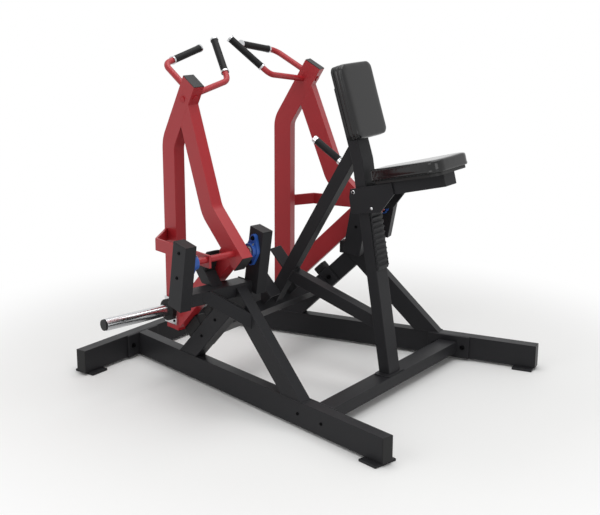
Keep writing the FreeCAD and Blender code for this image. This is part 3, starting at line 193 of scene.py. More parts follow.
# Red powder on the arms: the same satin, with a stronger sheen.
red_coat = powder_coat("red_powder_coat_on_steel", "#a4252b", "#991f26", 0.34, 0.44, 0.4)
# Blue enamel over a sand casting: the sand shows through as a smaller, deeper ripple.
blue_coat = powder_coat("blue_enamel_on_cast_iron", "#2f5aa8", "#264b93", 0.30, 0.42, 0.4,
                        peel_mm=3.0, peel_height=0.25 * MILLIMETRE)
print("paints made:", [m.name for m in (black_coat, red_coat, blue_coat)])

# %% [markdown]
# Chrome plate is bright and almost colourless.  A metal takes its look from what it reflects.  It
# could be a perfect mirror, but polishing leaves a faint haze, and that haze is what makes a long
# horn read as plated steel.  So the colour is even and only the roughness varies a little.

# %% Metals
def plated_metal(name, hex_colour, rough, haze_mm):
    """Even metal whose roughness goes from 0.7 to 1.4 times rough with a noise haze_mm across."""
    material, tree = new_material(name)
    place = add(tree, "ShaderNodeTexCoord").outputs["Object"]
    haze = add(tree, "ShaderNodeTexNoise", {"Vector": place, "Scale": per_size(haze_mm),
                                            "Detail": 3.0})
    gloss = add(tree, "ShaderNodeMapRange", {"Value": haze.outputs["Fac"], "To Min": rough * 0.7,
                                             "To Max": rough * 1.4})
    shader = add(tree, "ShaderNodeBsdfPrincipled",
                 {"Base Color": linear(hex_colour), "Metallic": 1.0,
                  "Roughness": gloss.outputs["Result"]})
    add(tree, "ShaderNodeOutputMaterial", {"Surface": shader.outputs["BSDF"]})
    return material


# Polished chrome: sharp reflections, softened by a haze about as wide as a polishing mop's mark.
chrome = plated_metal("polished_chrome_plate", "#c9cacc", 0.16, 30)
print("metal made:", chrome.name)

# %% [markdown]
# Rubber and plastic come out of a mould.  They are dull, and the mould's texture makes their gloss
# slightly uneven.  An image would need each part unwrapped first.  A noise in the object's own
# space needs no unwrapping, so one noise gives both the relief and the gloss.

# %% Rubber, plastic and vinyl
GLOSS_SPREAD = 0.06


def moulded(name, hex_colour, rough, grain_mm, grain_height, specular):
    """One colour; a noise grain_mm across lifts the surface and moves the roughness by 0.06."""
    material, tree = new_material(name)
    place = add(tree, "ShaderNodeTexCoord").outputs["Object"]
    grain = add(tree, "ShaderNodeTexNoise", {"Vector": place, "Scale": per_size(grain_mm),
                                             "Detail": 3.0})
    relief = add(tree, "ShaderNodeBump", {"Height": grain.outputs["Fac"], "Distance": grain_height,
                                          "Strength": 1.0})
    gloss = add(tree, "ShaderNodeMapRange", {"Value": grain.outputs["Fac"],
                                             "To Min": rough - GLOSS_SPREAD,
                                             "To Max": rough + GLOSS_SPREAD})
    shader = add(tree, "ShaderNodeBsdfPrincipled",
                 {"Base Color": linear(hex_colour), "Roughness": gloss.outputs["Result"],
                  "Normal": relief.outputs["Normal"], "Specular IOR Level": specular})
    add(tree, "ShaderNodeOutputMaterial", {"Surface": shader.outputs["BSDF"]})
    return material


# Moulded polyethylene plugs: waxy, between satin and matt.
cap_plastic = moulded("black_polyethylene_cap", "#0e0e0f", 0.45, 2.0, 0.04 * MILLIMETRE, 0.3)
# Hard rubber blocks: the dullest of all, with the coarse skin of a pressed block.
stop_rubber = moulded("black_stop_rubber", "#0c0c0d", 0.62, 4.0, 0.12 * MILLIMETRE, 0.3)
# Grip rubber: deeper black and a little smoother than the stops, but with hardly any sheen.
grip_rubber = moulded("black_grip_rubber", "#09090a", 0.5, 2.5, 0.06 * MILLIMETRE, 0.2)
# The boards under the pads: black plastic sheet with a fine texture, between satin and matt.
board_plastic = moulded("black_pad_board", "#0c0c0d", 0.5, 3.0, 0.05 * MILLIMETRE, 0.4)
# Upholstery vinyl: smooth and the glossiest of these.  Its real grain is under a millimetre, too
# fine to show from here, so it is drawn at 1.6 mm, which only breaks up the highlight.
vinyl = moulded("charcoal_upholstery_vinyl", "#111112", 0.14, 1.6, 0.008 * MILLIMETRE, 0.42)
print("polymers made:", [m.name for m in (cap_plastic, stop_rubber, grip_rubber, board_plastic,
                                          vinyl)])

# %% [markdown]
# Every solid from the frame takes the finish of the real piece.  Rolled steel tube has rounded
# corners that catch the light.  They could be cut into the solids, but a live bevel on each is
# lighter and easier to change.  The solids are loose triangles, so they are welded first and their
# flat faces made whole, or the bevel would round every triangle.

# %% Dress the frame
FINISH = {"black_paint": black_coat, "red_paint": red_coat, "blue_paint": blue_coat,
          "chrome": chrome, "grip_rubber": grip_rubber, "rubber": stop_rubber, "vinyl": vinyl,
          "board": board_plastic, "plastic": cap_plastic}
SAME_CORNER = 0.02 * MILLIMETRE
TUBE_CORNER = 3 * MILLIMETRE
PLAIN_EDGE = 1 * MILLIMETRE
RUBBER_EDGE = 7 * MILLIMETRE
ROUND_BARS = ("handle_bars", "handle_grips", "grip_collars", "arm_shaft", "horn_cushion",
              "bearings", "support_grip", "support_handle", "carriage_pins")
SOFT_BLOCKS = ("stop_buffers", "rest_blocks")
slot_of = {part["node"]: part["material_slot"] for part in frame["record"]["subparts"]}


def round_corners(piece, width, segments=2):
    """Welds the loose triangles of a solid, then rounds its edges sharper than 40 degrees.

    Blender narrows all bevels of a piece until none overlap.  The 3 mm wall at a tube's open end
    leaves each 1.5 mm, and the arms' front and rear tubes keep less than half a millimetre.
    """
    weld = piece.modifiers.new("weld", "WELD")
    weld.merge_threshold = SAME_CORNER
    flats = piece.modifiers.new("whole flats", "DECIMATE")
    flats.decimate_type = "DISSOLVE"
    flats.angle_limit = math.radians(0.5)
    bevel = piece.modifiers.new("rolled corners", "BEVEL")
    bevel.width = width
    bevel.segments = segments
    bevel.limit_method = "ANGLE"
    bevel.angle_limit = math.radians(40)
    shade = piece.modifiers.new("flats shade flat", "WEIGHTED_NORMAL")
    shade.keep_sharp = True


for name, solid in frame["nodes"].items():
    solid.data.materials.clear()
    solid.data.materials.append(FINISH[slot_of[name]])
    if name in SOFT_BLOCKS:
        round_corners(solid, RUBBER_EDGE, segments=4)
    elif not name.endswith(ROUND_BARS):
        round_corners(solid, TUBE_CORNER if "paint" in slot_of[name] else PLAIN_EDGE)
print("nodes dressed:", len(frame["nodes"]))

# %% [markdown]
# Each rail turns a little outward from the middle of the machine, and everything on it turns with
# it: the arms, their pivots, the bearings and the posts.  Typing world coordinates for each bolt
# would hide that.  Measuring from the arm's pivot along those three directions, in millimetres,
# keeps every bolt's place short to write.  The pivot and its axis come with the frame's joints.

# %% Directions at each arm's pivot
UP = np.array((0.0, 0.0, 1.0))
PIVOT_ALONG = 725.2
PIVOT_UP = 620.9
pivots = {}
for joint in frame["joints"]:
    if joint["type"] == "hinge":
        spot = np.array(joint["pos_m"])
        axis = np.array(joint["axis"])
        out = axis * np.sign(spot[0] * axis[0])
        along = np.array((out[1] * np.sign(spot[0]), -abs(out[0]), 0.0))
        pivots["left" if spot[0] < 0 else "right"] = (spot, along, out)


def at_pivot(side, along_mm, out_mm, up_mm):
    """Pivot point plus so many millimetres along the rail, outward and up."""
    spot, along, out = pivots[side]
    return spot + (along * along_mm + out * out_mm + UP * up_mm) * MILLIMETRE


def on_rail(side, along_mm, out_mm, up_mm):
    """The same, from the rail's rear end, its outer face and the floor instead of the pivot."""
    return at_pivot(side, along_mm - PIVOT_ALONG, out_mm, up_mm - PIVOT_UP)


print("pivots:", {side: [round(float(v), 3) for v in pivot[0]] for side, pivot in pivots.items()})

# %% [markdown]
# Primitives could be added and edited, but their measures would be hard to read back.  So every new
# piece is a surface over a grid: one number runs down the rows and one runs round the columns.  The
# helper turns such a grid into a mesh, closes it round the columns, and makes a first or last row
# that has shrunk to a point into a pole, so that no piece has a hole.

# %% From grids to a mesh
POINT_SIZE = 1e-9  # a row that spans less than this is a pole, in metres
SAME_POINT = 1e-6  # points nearer than this are merged, in metres


def grid_faces(points, start):
    """Quads between neighbouring rows and columns, columns closing round, poles as triangles."""
    rows, columns = points.shape[:2]
    index = np.arange(rows * columns).reshape(rows, columns) + start
    after = np.roll(index, -1, axis=1)
    quads = np.stack([index[:-1], after[:-1], after[1:], index[1:]], axis=-1)
    poles = [np.ptp(points[row], axis=0).max() < POINT_SIZE for row in (0, -1)]
    first, last = int(poles[0]), rows - 1 - int(poles[1])
    faces = quads[first:last].reshape(-1, 4).tolist()
    if poles[0]:
        faces += np.stack([np.full(columns, index[0, 0]), after[1], index[1]], axis=-1).tolist()
    if poles[1]:
        faces += np.stack([index[-2], after[-2], np.full(columns, index[-1, 0])], axis=-1).tolist()
    return faces


def make_piece(name, grids, material, body, smooth=True):
    """One mesh object out of one or more closed grids, riding on a body."""
    faces, start = [], 0
    for points in grids:
        faces += grid_faces(points, start)
        start += points.shape[0] * points.shape[1]
    mesh = bpy.data.meshes.new(name)
    mesh.from_pydata(np.concatenate([g.reshape(-1, 3) for g in grids]).tolist(), [], faces)
    clean = bmesh.new()
    clean.from_mesh(mesh)
    bmesh.ops.delete(clean, geom=[v for v in clean.verts if not v.link_faces], context="VERTS")
    bmesh.ops.remove_doubles(clean, verts=clean.verts, dist=SAME_POINT)
    clean.to_mesh(mesh)
    clean.free()
    mesh.materials.append(material)
    if smooth:
        mesh.shade_smooth()
    else:
        mesh.shade_flat()
    piece = bpy.data.objects.new(name, mesh)
    bpy.context.collection.objects.link(piece)
    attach(piece, body)
    return piece


def turned(profile, centre, axis, sides=32, shape=None):
    """A turned surface: centre + height * axis + radius * (cos a, sin a) across the axis.

    profile has a (radius, height) row in millimetres; shape gives each row's radius at each angle.
    """
    axis = np.array(axis) / np.linalg.norm(axis)
    side = np.cross(axis, UP if abs(axis[2]) < 0.9 else (1.0, 0.0, 0.0))
    side /= np.linalg.norm(side)
    other = np.cross(axis, side)
    angle = np.linspace(0, 2 * np.pi, sides, endpoint=False)
    radius, height = np.array(profile, float).T[:, :, None] * MILLIMETRE
    if shape is not None:
        radius = radius * shape(angle)
    ring = radius[..., None] * (np.cos(angle)[:, None] * side + np.sin(angle)[:, None] * other)
    return np.array(centre) + ring + height[..., None] * axis


print("helpers ready; a test ring has", turned([(0, 0), (5, 0), (0, 2)], (0, 0, 0), UP).shape)

# %% [markdown]
# The machine is bolted up with black socket screws: a low round head with a hexagonal well for the
# key.  The well could be cut out of a cylinder, but a cut leaves uneven faces.  Here the screw is a
# turned piece whose radius, down in the well, follows a hexagon instead of a circle.  The hexagon
# is the distance to its flat divided by the cosine of the angle from that flat.

# %% Socket screws
SCREW_SIDES = 36
WELL_ROWS = 2
SUNK = 1.0  # how far a part on a face reaches below it, so that no gap shows


def hexagon(angle):
    """Distance to a unit hexagon's edge: 1 / cos(angle from the nearest flat's middle)."""
    return 1 / np.cos((angle % (np.pi / 3)) - np.pi / 6)


def socket_screw(centre, axis, head=6.5, tall=3.5, key=3.2):
    """A low socket head: radius and height of the rim, its rounding, and a 2.6 mm deep well.

    The two rows of the well take the key's radius times the hexagon; the others are circles.
    """
    profile = [(0, -SUNK), (head, -SUNK), (head, tall - 1.6), (head - 0.5, tall - 0.6),
               (head - 1.6, tall), (key + 0.8, tall), (key, tall - 0.3), (key, tall - 2.6),
               (0, tall - 2.6)]
    well = np.zeros(len(profile), bool)
    well[-WELL_ROWS - 1:-1] = True
    return turned(profile, centre, axis, SCREW_SIDES,
                  lambda angle: np.where(well[:, None], hexagon(angle), 1.0))


def washer(centre, axis, outer=11.0, inner=5.0, thick=1.8):
    """A flat ring with softened edges; its bore is hidden by the screw, so it is closed."""
    return turned([(0, -SUNK / 2), (outer, -SUNK / 2), (outer, thick - 0.4),
                   (outer - 0.4, thick), (inner, thick), (0, thick)], centre, axis, SCREW_SIDES)


print("a screw has", socket_screw((0, 0, 0), UP).shape, "rows, columns and coordinates")

# %% [markdown]
# Each bearing hangs on two bolts, one above and one below the shaft, in line with the leaning post.
# A bolt shows at both ends: a bare head on the post, and a head on a washer at the blue flange.
# One loop over the sides, the two ends and the faces places all of them.

# %% Screws at the bearings
POST_LEAN = math.radians(9.75)
BEARING_BOLT = 50.0
OUTER_POST_FACE = 291.0
INNER_POST_FACE = -126.0
OUTER_FLANGE_FACE = 227.0
INNER_FLANGE_FACE = -62.0
BEARING_WASHER_RADIUS = 9.5
WASHER_THICK = 1.8


def bearing_bolt(side, end, out_mm):
    """A bearing's bolt hole: half the bolt spacing along the leaning post, at a face."""
    return at_pivot(side, end * BEARING_BOLT * math.sin(POST_LEAN), out_mm,
                    end * BEARING_BOLT * math.cos(POST_LEAN))


frame_screws = []
for side, (_, _, out) in pivots.items():
    for end in (-1, 1):
        for out_mm, face in ((OUTER_POST_FACE, out), (INNER_POST_FACE, -out)):
            frame_screws.append(socket_screw(bearing_bolt(side, end, out_mm), face))
        for out_mm, face, way in ((OUTER_FLANGE_FACE, -out, -1), (INNER_FLANGE_FACE, out, 1)):
            frame_screws.append(washer(bearing_bolt(side, end, out_mm), face,
                                       BEARING_WASHER_RADIUS))
            frame_screws.append(socket_screw(bearing_bolt(side, end, out_mm + way * WASHER_THICK),
                                             face, head=7.5, tall=6))
print("screws and washers at the bearings:", len(frame_screws))

# %% [markdown]
# Several nodes hold more than one solid: the six flange plates, for one.  Typed coordinates for
# what sits on them would stay behind if a beam moved, so the solids themselves give the places.
# They are told apart first: faces that share a corner belong to one solid.  A flat solid's own
# directions are the long and the short axis of its corners.

# %% Telling solids apart
def loose_solids(node):
    """Each separate solid of a node, as an array of its corners, in the mesh's own order.

    Every corner starts with its own number as its label.  Each edge then gives both its ends the
    smaller label of the two, over and over, until nothing changes: one label is one solid.
    """
    copy = bmesh.new()
    copy.from_mesh(frame["nodes"][node].data)
    bmesh.ops.remove_doubles(copy, verts=copy.verts, dist=SAME_CORNER)
    copy.verts.index_update()
    corners = np.array([corner.co[:] for corner in copy.verts])
    edges = np.array([[corner.index for corner in edge.verts] for edge in copy.edges])
    copy.free()
    label, before = np.arange(len(corners)), None
    while not np.array_equal(label, before):
        before = label.copy()
        lowest = label[edges].min(axis=1)
        np.minimum.at(label, edges, lowest[:, None])
    return [corners[label == number] for number in np.unique(label)]


def middle_of(corners):
    """The middle of the box round some corners: half of (largest + smallest)."""
    return (corners.max(axis=0) + corners.min(axis=0)) / 2


def own_axes(corners):
    """Middle, long direction, thin direction and half thickness of a flat solid's corners.

    The directions are the principal axes of the corners about their mean, in order of reach.
    """
    axes = np.linalg.svd(corners - corners.mean(axis=0), full_matrices=False)[2]
    reach = np.ptp(corners @ axes.T, axis=0) / 2
    order = np.argsort(reach)
    return middle_of(corners), axes[order[2]], axes[order[0]], reach[order[0]]


flange_plates = loose_solids("flange_plates")
print("flange plates found:", len(flange_plates))

# %% [markdown]
# The crossbeams carry flat plates that bolt to the rails and braces.  A washer and a screw go on
# each end of a plate, on the face toward the machine's middle.  The far ends of those bolts show on
# the outer faces of the braces and rails, and two more screws hold each horn's plate.

# %% Bolts on the flange plates
MACHINE_MIDDLE = np.array((0.0, -0.2, 0.0))
FLANGE_BOLT = 65.5
BRACE_ANGLE = math.radians(45)
BRACE_BOLTS = (517.0, 260.0)
RAIL_BOLTS = (1135.0, 60.0)
HORN_PLATE_FACE = 40.0
HORN_SCREWS_ALONG = (285.0, 337.0)
HORN_SCREWS_UP = 254.0
for corners in flange_plates:
    middle, long_way, thin_way, half = own_axes(corners)
    toward_centre = MACHINE_MIDDLE - middle * (1, 1, 0)
    face = thin_way * np.sign(thin_way @ toward_centre)
    for end in (-1, 1):
        spot = middle + long_way * end * FLANGE_BOLT * MILLIMETRE + face * half
        frame_screws += [washer(spot, face),
                         socket_screw(spot + face * WASHER_THICK * MILLIMETRE, face, 8, 7, 4)]
for (along_mm, up_mm), slope in ((BRACE_BOLTS, BRACE_ANGLE), (RAIL_BOLTS, 0.0)):
    for side, (_, _, out) in pivots.items():
        for end in (-1, 1):
            reach = end * FLANGE_BOLT
            spot = on_rail(side, along_mm + reach * math.cos(slope), 0,
                           up_mm + reach * math.sin(slope))
            frame_screws.append(socket_screw(spot, out))
# Black oxide: a thin, dark grey skin on steel, half matt, so only a screw's rim catches the light.
black_screw = plated_metal("black_oxide_screw", "#101011", 0.5, 8)
make_piece("FrameScrews", frame_screws, black_screw, "frame")
for side, (_, _, out) in pivots.items():
    plate_screws = [socket_screw(on_rail(side, along_mm, HORN_PLATE_FACE, HORN_SCREWS_UP), out,
                                 head=5.5) for along_mm in HORN_SCREWS_ALONG]
    make_piece(f"{side}HornScrews", plate_screws, black_screw, f"{side}_arm")
print("frame screws:", len(frame_screws))

# %% [markdown]
# The seat slides on two pins.  The upper one is held by a dark screw on a bright washer, and the
# lower one ends in a bright round head, on both faces of the carriage.  A squashed ball would do
# for the head, but half of it would lie inside the plate, so only a quarter of a flattened circle
# is turned.

# %% Heads on the carriage pins
DOME_RADIUS = 6.5
DOME_TALL = 2.6
quarter = np.linspace(0, np.pi / 2, 7)
dome_profile = [(0, -SUNK / 2)]
dome_profile += [(DOME_RADIUS * math.cos(a), DOME_TALL * math.sin(a)) for a in quarter[:-1]]
dome_profile += [(0, DOME_TALL)]
pins = sorted(loose_solids("seat_carriage_pins"), key=lambda corners: corners[:, 2].mean())
plate_face = max(np.abs(corners[:, 0]).max() for corners in loose_solids("seat_carriage_plates"))
bright, dark = [], []
for corners in pins:
    _, pin_y, pin_z = middle_of(corners)
    for way in (-1, 1):
        spot, axis = np.array((way * plate_face, pin_y, pin_z)), (way, 0, 0)
        if corners is pins[0]:
            bright.append(turned(dome_profile, spot, axis))
        else:
            bright.append(washer(spot, axis, outer=8.0, inner=4.0, thick=1.2))
            dark.append(socket_screw(spot + (way * 0.8 * MILLIMETRE, 0, 0), axis, 5.0, 3, 2.6))
make_piece("PinHeads", bright, chrome, "seat")
make_piece("PinScrews", dark, black_screw, "seat")
print("pin heads:", len(bright), "pins:", len(pins))

# %% [markdown]
# The seat column stands on a thin plate that spreads its load over the crossbeam.  A box with
# bevelled corners would do as well.  A superellipse gives the same rounded corners in one line, as
# a turned piece: its radius at each angle is the distance at which the eighth powers of the two
# scaled coordinates add up to one.

# %% Foot plate of the seat column
FOOT_HALF_WIDE = 66
FOOT_MARGIN = 4
NEAR_FACE = 0.6 * MILLIMETRE
beam_low, beam_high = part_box("front_crossbeam")
foot = min(loose_solids("seat_column"), key=lambda corners: corners[:, 2].min())
foot_height = middle_of(foot[foot[:, 2] < beam_high[2] + NEAR_FACE])[2]


def superellipse(half_x, half_y, power=8):
    """Radius at each angle: (|cos / half_x| ^ power + |sin / half_y| ^ power) ^ (-1 / power)."""
    return lambda angle: (np.abs(np.cos(angle) / half_x) ** power
                          + np.abs(np.sin(angle) / half_y) ** power) ** (-1 / power)


plate_profile = [(0, 0), (1, 0), (1, 4.2), (0.99, 5), (0, 5)]
half_deep = (beam_high[1] - beam_low[1]) / 2 / MILLIMETRE - FOOT_MARGIN
foot_plate = turned(plate_profile, (0, (beam_low[1] + beam_high[1]) / 2, foot_height), UP, 72,
                    superellipse(half_deep, FOOT_HALF_WIDE))
make_piece("ColumnFootPlate", [foot_plate], black_coat, "frame", smooth=False)
print("foot plate over the crossbeam, half depth in mm:", round(half_deep, 1))

# %% [markdown]
# A flange bearing is a painted iron housing round a steel inner ring, which grips the shaft with a
# small screw, and a grease nipple stands on its rim.  A bare disc would hide where the shaft turns,
# so the ring has its step and its chamfers.  The ring and the nipple are both turned pieces.

# %% Bearing rings and nipples
OUTER_BOSS_FACE = 211.0
INNER_BOSS_FACE = -46.0
OUTER_RIM = 219.0
INNER_RIM = -54.0
BOSS_RADIUS = 28.6
NIPPLE_ANGLE = math.radians(35)
ring_profile = [(12.6, -2), (20, -2), (20, 0.4), (16.4, 0.4), (16.4, 3.4), (15.8, 4), (13.2, 4),
                (12.6, 3.4), (12.6, -2)]
nipple_profile = [(0, -1), (3.4, -1), (3.4, 3), (2.2, 3.4), (2.2, 6), (3.0, 6.8), (2.4, 8.6),
                  (0, 9)]
rings = []
for side, (_, along, out) in pivots.items():
    for boss_mm, face, rim_mm in ((OUTER_BOSS_FACE, -out, OUTER_RIM),
                                  (INNER_BOSS_FACE, out, INNER_RIM)):
        rings.append(turned(ring_profile, at_pivot(side, 0, boss_mm, 0), face, 40))
        lean, rise = math.sin(NIPPLE_ANGLE), math.cos(NIPPLE_ANGLE)
        root = at_pivot(side, BOSS_RADIUS * lean, rim_mm, BOSS_RADIUS * rise)
        rings.append(turned(nipple_profile, root, along * lean + UP * rise, 16))
# Ground steel: bare and grey, satin from the grinding wheel and a little uneven from handling.
bright_steel = plated_metal("ground_bearing_steel", "#77787b", 0.34, 10)
make_piece("BearingRings", rings, bright_steel, "frame")
print("bearing rings and nipples:", len(rings))

# %% [markdown]
# The tubes are joined by fillet welds.  A weld bead is a small round strip with ripples, one for
# each dab of the torch.  A bump in the paint can't change an outline, so each bead is a mesh of its
# own.  Its path is the outline of the tube's end where it meets its neighbour: the helper picks a
# solid's corners that lie furthest along a direction and puts them in order round their middle.

# %% Weld beads
BEAD_STEP = 0.8 * MILLIMETRE
BEAD_SIDES = 8
RIPPLE_SHARE = 0.12
OUTER_CORNERS = 0.9
ANY_WAY = (0.31, 0.95, 0.12)


def end_outline(corners, way):
    """Corners of the solid's end face: those furthest along a direction, in order round it.

    The order is the angle of each corner about the face's middle.  Corners nearer to the middle
    than nine tenths of the furthest belong to the bore and are left out.
    """
    way = np.array(way) / np.linalg.norm(way)
    height = corners @ way
    face = corners[height > height.max() - NEAR_FACE]
    middle = middle_of(face)
    side = np.cross(way, ANY_WAY)
    side /= np.linalg.norm(side)
    flat = (face - middle) @ np.stack([side, np.cross(way, side)], axis=1)
    spots = face[np.argsort(np.arctan2(flat[:, 1], flat[:, 0]))]
    reach = np.linalg.norm(spots - middle, axis=1)
    return spots[reach > OUTER_CORNERS * reach.max()], way


def weld_bead(corners, way, radius=3.0, ripple=2.6):
    """A bead along a closed path: a ring of radius * (1 + 0.12 * wave) round each point of it.

    The wave is the sine of the way along the path, one turn for each ripple.  Each ring runs from
    the side toward the way, which turns the faces outward.
    """
    spots, way = end_outline(corners, way)
    after = np.roll(spots, -1, axis=0)
    steps = np.linalg.norm(after - spots, axis=1)
    travel = np.concatenate([[0], np.cumsum(steps)])
    along_path = np.linspace(0, travel[-1], int(travel[-1] / BEAD_STEP), endpoint=False)
    loop = np.concatenate([spots, spots[:1]])
    path = np.stack([np.interp(along_path, travel, loop[:, k]) for k in range(3)], axis=1)
    tangent = np.roll(path, -2, axis=0) - np.roll(path, 2, axis=0)
    tangent /= np.linalg.norm(tangent, axis=1)[:, None]
    side = np.cross(way, tangent)
    side /= np.linalg.norm(side, axis=1)[:, None]
    wave = np.sin(along_path * 2 * np.pi / (ripple * MILLIMETRE))
    size = radius * MILLIMETRE * (1 + RIPPLE_SHARE * wave)
    angle = np.linspace(0, 2 * np.pi, BEAD_SIDES, endpoint=False)
    round_it = np.cos(angle)[None, :, None] * side[:, None] + np.sin(angle)[None, :, None] * way
    points = path[:, None] + round_it * size[:, None, None]
    return np.concatenate([points, points[:1]])


a_bead = weld_bead(loose_solids("legs")[0], -UP)
print("a leg's bead has", a_bead.shape[0], "rings of", a_bead.shape[1], "points")

# %% [markdown]
# Each bead lies where a tube ends on its neighbour, so it needs only the tube's node and the
# direction in which that end points: down for the braces and legs, and square to the tube that is
# met for the sloping ones.  The pivot beams have a bead at both ends.

# %% Beads on the frame
CHEST_TILT = math.radians(18.2)
COLUMN_LEAN = math.radians(9.87)
DIAGONAL_FACE = (0, 0.860, 0.511)
frame_welds = []
for node, way in (("braces", -UP), ("legs", -UP), ("seat_column", -UP),
                  ("diagonal", (0, 1, -1)),
                  ("diagonal", (0, -math.cos(CHEST_TILT), math.sin(CHEST_TILT))),
                  ("stay", (0, -math.cos(COLUMN_LEAN), math.sin(COLUMN_LEAN))),
                  ("stay", DIAGONAL_FACE)):
    frame_welds += [weld_bead(corners, way) for corners in loose_solids(node)]
for corners in loose_solids("pivot_beams"):
    out = pivots["left" if corners[:, 0].mean() < 0 else "right"][2]
    frame_welds += [weld_bead(corners, out), weld_bead(corners, -out)]
make_piece("FrameWelds", frame_welds, black_coat, "frame")
print("weld beads:", len(frame_welds))

# %% [markdown]
# The pads go through several tools in turn: a new mesh, a cloth simulation, smoothing.  Each tool
# is a modifier that is applied before the next one starts, and in between the points are moved as
# arrays.  Three helpers do that: read the points, write them back and apply what is on the piece.

# %% Pads: points and modifiers
def read_points(piece, what="co"):
    """A mesh's points or normals as rows of three."""
    values = np.empty(len(piece.data.vertices) * 3, np.float32)
    piece.data.vertices.foreach_get(what, values)
    return values.reshape(-1, 3)


def write_points(piece, points):
    """Puts rows of three back as the mesh's points."""
    piece.data.vertices.foreach_set("co", points.astype(np.float32).ravel())


def apply_modifiers(piece):
    """Replaces the piece's mesh with what its modifiers make of it."""
    graph = bpy.context.evaluated_depsgraph_get()
    made = bpy.data.meshes.new_from_object(piece.evaluated_get(graph))
    piece.modifiers.clear()
    piece.data = made


chest_node = frame["nodes"]["chest_pad"]
print("the chest pad's solid has", len(read_points(chest_node)), "corners")

# %% [markdown]
# The two pads are foam glued to a board and wrapped in vinyl.  A bevelled block is too stiff for
# that: a real cover is flat in the middle, rounded at the rim and drawn in along its seams.  Cloth
# that is blown up from inside takes that shape by itself.  The points that lie on the board are
# held still, and the vinyl is given stiffness enough to keep its size.

# %% Pads: cloth under pressure
STEPS = 20
PRESSURE = 2.0


def blow_up(piece, pressure):
    """Cloth under pressure for a few steps, pinned where it lies on the board."""
    cloth = piece.modifiers.new("cover", "CLOTH")
    cloth.settings.quality = 6
    cloth.settings.use_pressure = True
    cloth.settings.uniform_pressure_force = pressure
    cloth.settings.tension_stiffness = 60
    cloth.settings.compression_stiffness = 60
    cloth.settings.shear_stiffness = 30
    cloth.settings.bending_stiffness = 25
    cloth.settings.vertex_group_mass = "on the board"
    cloth.settings.effector_weights.gravity = 0
    cloth.point_cache.frame_start = 1
    cloth.point_cache.frame_end = STEPS
    for step in range(1, STEPS + 1):
        bpy.context.scene.frame_set(step)
        bpy.context.view_layer.update()
    apply_modifiers(piece)
    bpy.context.scene.frame_set(1)


print("the cover is blown up in", STEPS, "steps")

# %% [markdown]
# The cloth starts from the solid itself: a slightly smaller copy of its mesh, rebuilt from even
# squares, because cloth tears unevenly along long thin triangles.  Firm foam doesn't wrinkle, so
# the cloth's moves are cut to two millimetres and evened out afterwards.

# %% Pads: swell a copy of the solid
SQUARE = 4.0 * MILLIMETRE
HELD_ROWS = 1.5
MOST_SWELL = 2.0
SEAT_TILT = math.radians(14.8)


def foam_pad(name, node, lengthwise, outward, shrink_mm):
    """A padded piece from a solid, worked out in the pad's own directions.

    The copy is shrunk by shrink_mm at its edges and its face, with its underside left on the board:
    middle + (point - middle) * (1 - shrink / half size).  Then come even squares, cloth under
    pressure, each point's move cut to MOST_SWELL millimetres, and smoothing.  Directions that form
    a left-handed set mirror the mesh and turn its faces inward, so those are flipped back.
    """
    axes = np.array([(1, 0, 0), lengthwise, outward], float)
    mesh = frame["nodes"][node].data.copy()
    mesh.name = name
    mesh.materials.clear()
    merge = bmesh.new()
    merge.from_mesh(mesh)
    bmesh.ops.remove_doubles(merge, verts=merge.verts, dist=SAME_CORNER)
    merge.to_mesh(mesh)
    merge.free()
    piece = bpy.data.objects.new(name, mesh)
    bpy.context.collection.objects.link(piece)
    local = read_points(piece) @ axes.T
    low, high = local.min(axis=0), local.max(axis=0)
    middle, half = (low + high) / 2, (high - low) / 2
    less = np.array((shrink_mm, shrink_mm, shrink_mm / 2)) * MILLIMETRE
    local = middle + (local - middle) * (1 - less / half)
    local[:, 2] -= shrink_mm / 2 * MILLIMETRE
    write_points(piece, local)
    squares = piece.modifiers.new("even squares", "REMESH")
    squares.mode = "VOXEL"
    squares.voxel_size = SQUARE
    apply_modifiers(piece)
    before = read_points(piece)
    on_board = before[:, 2] < low[2] + HELD_ROWS * SQUARE
    for group, members in (("on the board", on_board), ("free", ~on_board)):
        piece.vertex_groups.new(name=group).add(np.flatnonzero(members).tolist(), 1.0, "REPLACE")
    blow_up(piece, PRESSURE)
    move = read_points(piece) - before
    distance = np.linalg.norm(move, axis=1)
    kept = np.minimum(1, MOST_SWELL * MILLIMETRE / np.maximum(distance, POINT_SIZE))
    write_points(piece, before + move * kept[:, None])
    even = piece.modifiers.new("foam evens it out", "SMOOTH")
    even.factor = 0.5
    even.iterations = 30
    even.vertex_group = "free"
    smaller = piece.modifiers.new("finer squares", "SUBSURF")
    smaller.levels = smaller.render_levels = 1
    apply_modifiers(piece)
    write_points(piece, read_points(piece) @ axes)
    if np.linalg.det(axes) < 0:
        piece.data.flip_normals()
    piece.data.shade_smooth()
    print(name, len(before), "points; the cloth moved them at most",
          round(float(distance.max()) / MILLIMETRE, 1), "mm, of which", MOST_SWELL, "are kept")
    return piece, axes, low, high


chest_pad, chest_axes, chest_low, chest_high = foam_pad(
    "ChestPad", "chest_pad", lengthwise=(0, math.sin(CHEST_TILT), math.cos(CHEST_TILT)),
    outward=(0, -math.cos(CHEST_TILT), math.sin(CHEST_TILT)), shrink_mm=1.5)
seat_pad, seat_axes, seat_low, seat_high = foam_pad(
    "SaddlePad", "seat_pad", lengthwise=(0, -math.cos(SEAT_TILT), math.sin(SEAT_TILT)),
    outward=(0, math.sin(SEAT_TILT), math.cos(SEAT_TILT)), shrink_mm=1.0)

# %% [markdown]
# A sewn seam pulls the cover in to a narrow valley, or stands out a little where it is piped.
# Cutting the cover in two and sewing it again would need far finer squares.  Instead each point
# near the seam's height moves along its normal, by the seam's depth times a bell curve of its
# distance from the seam.  The chest pad's two seams are drawn in, and the seat's stands out.

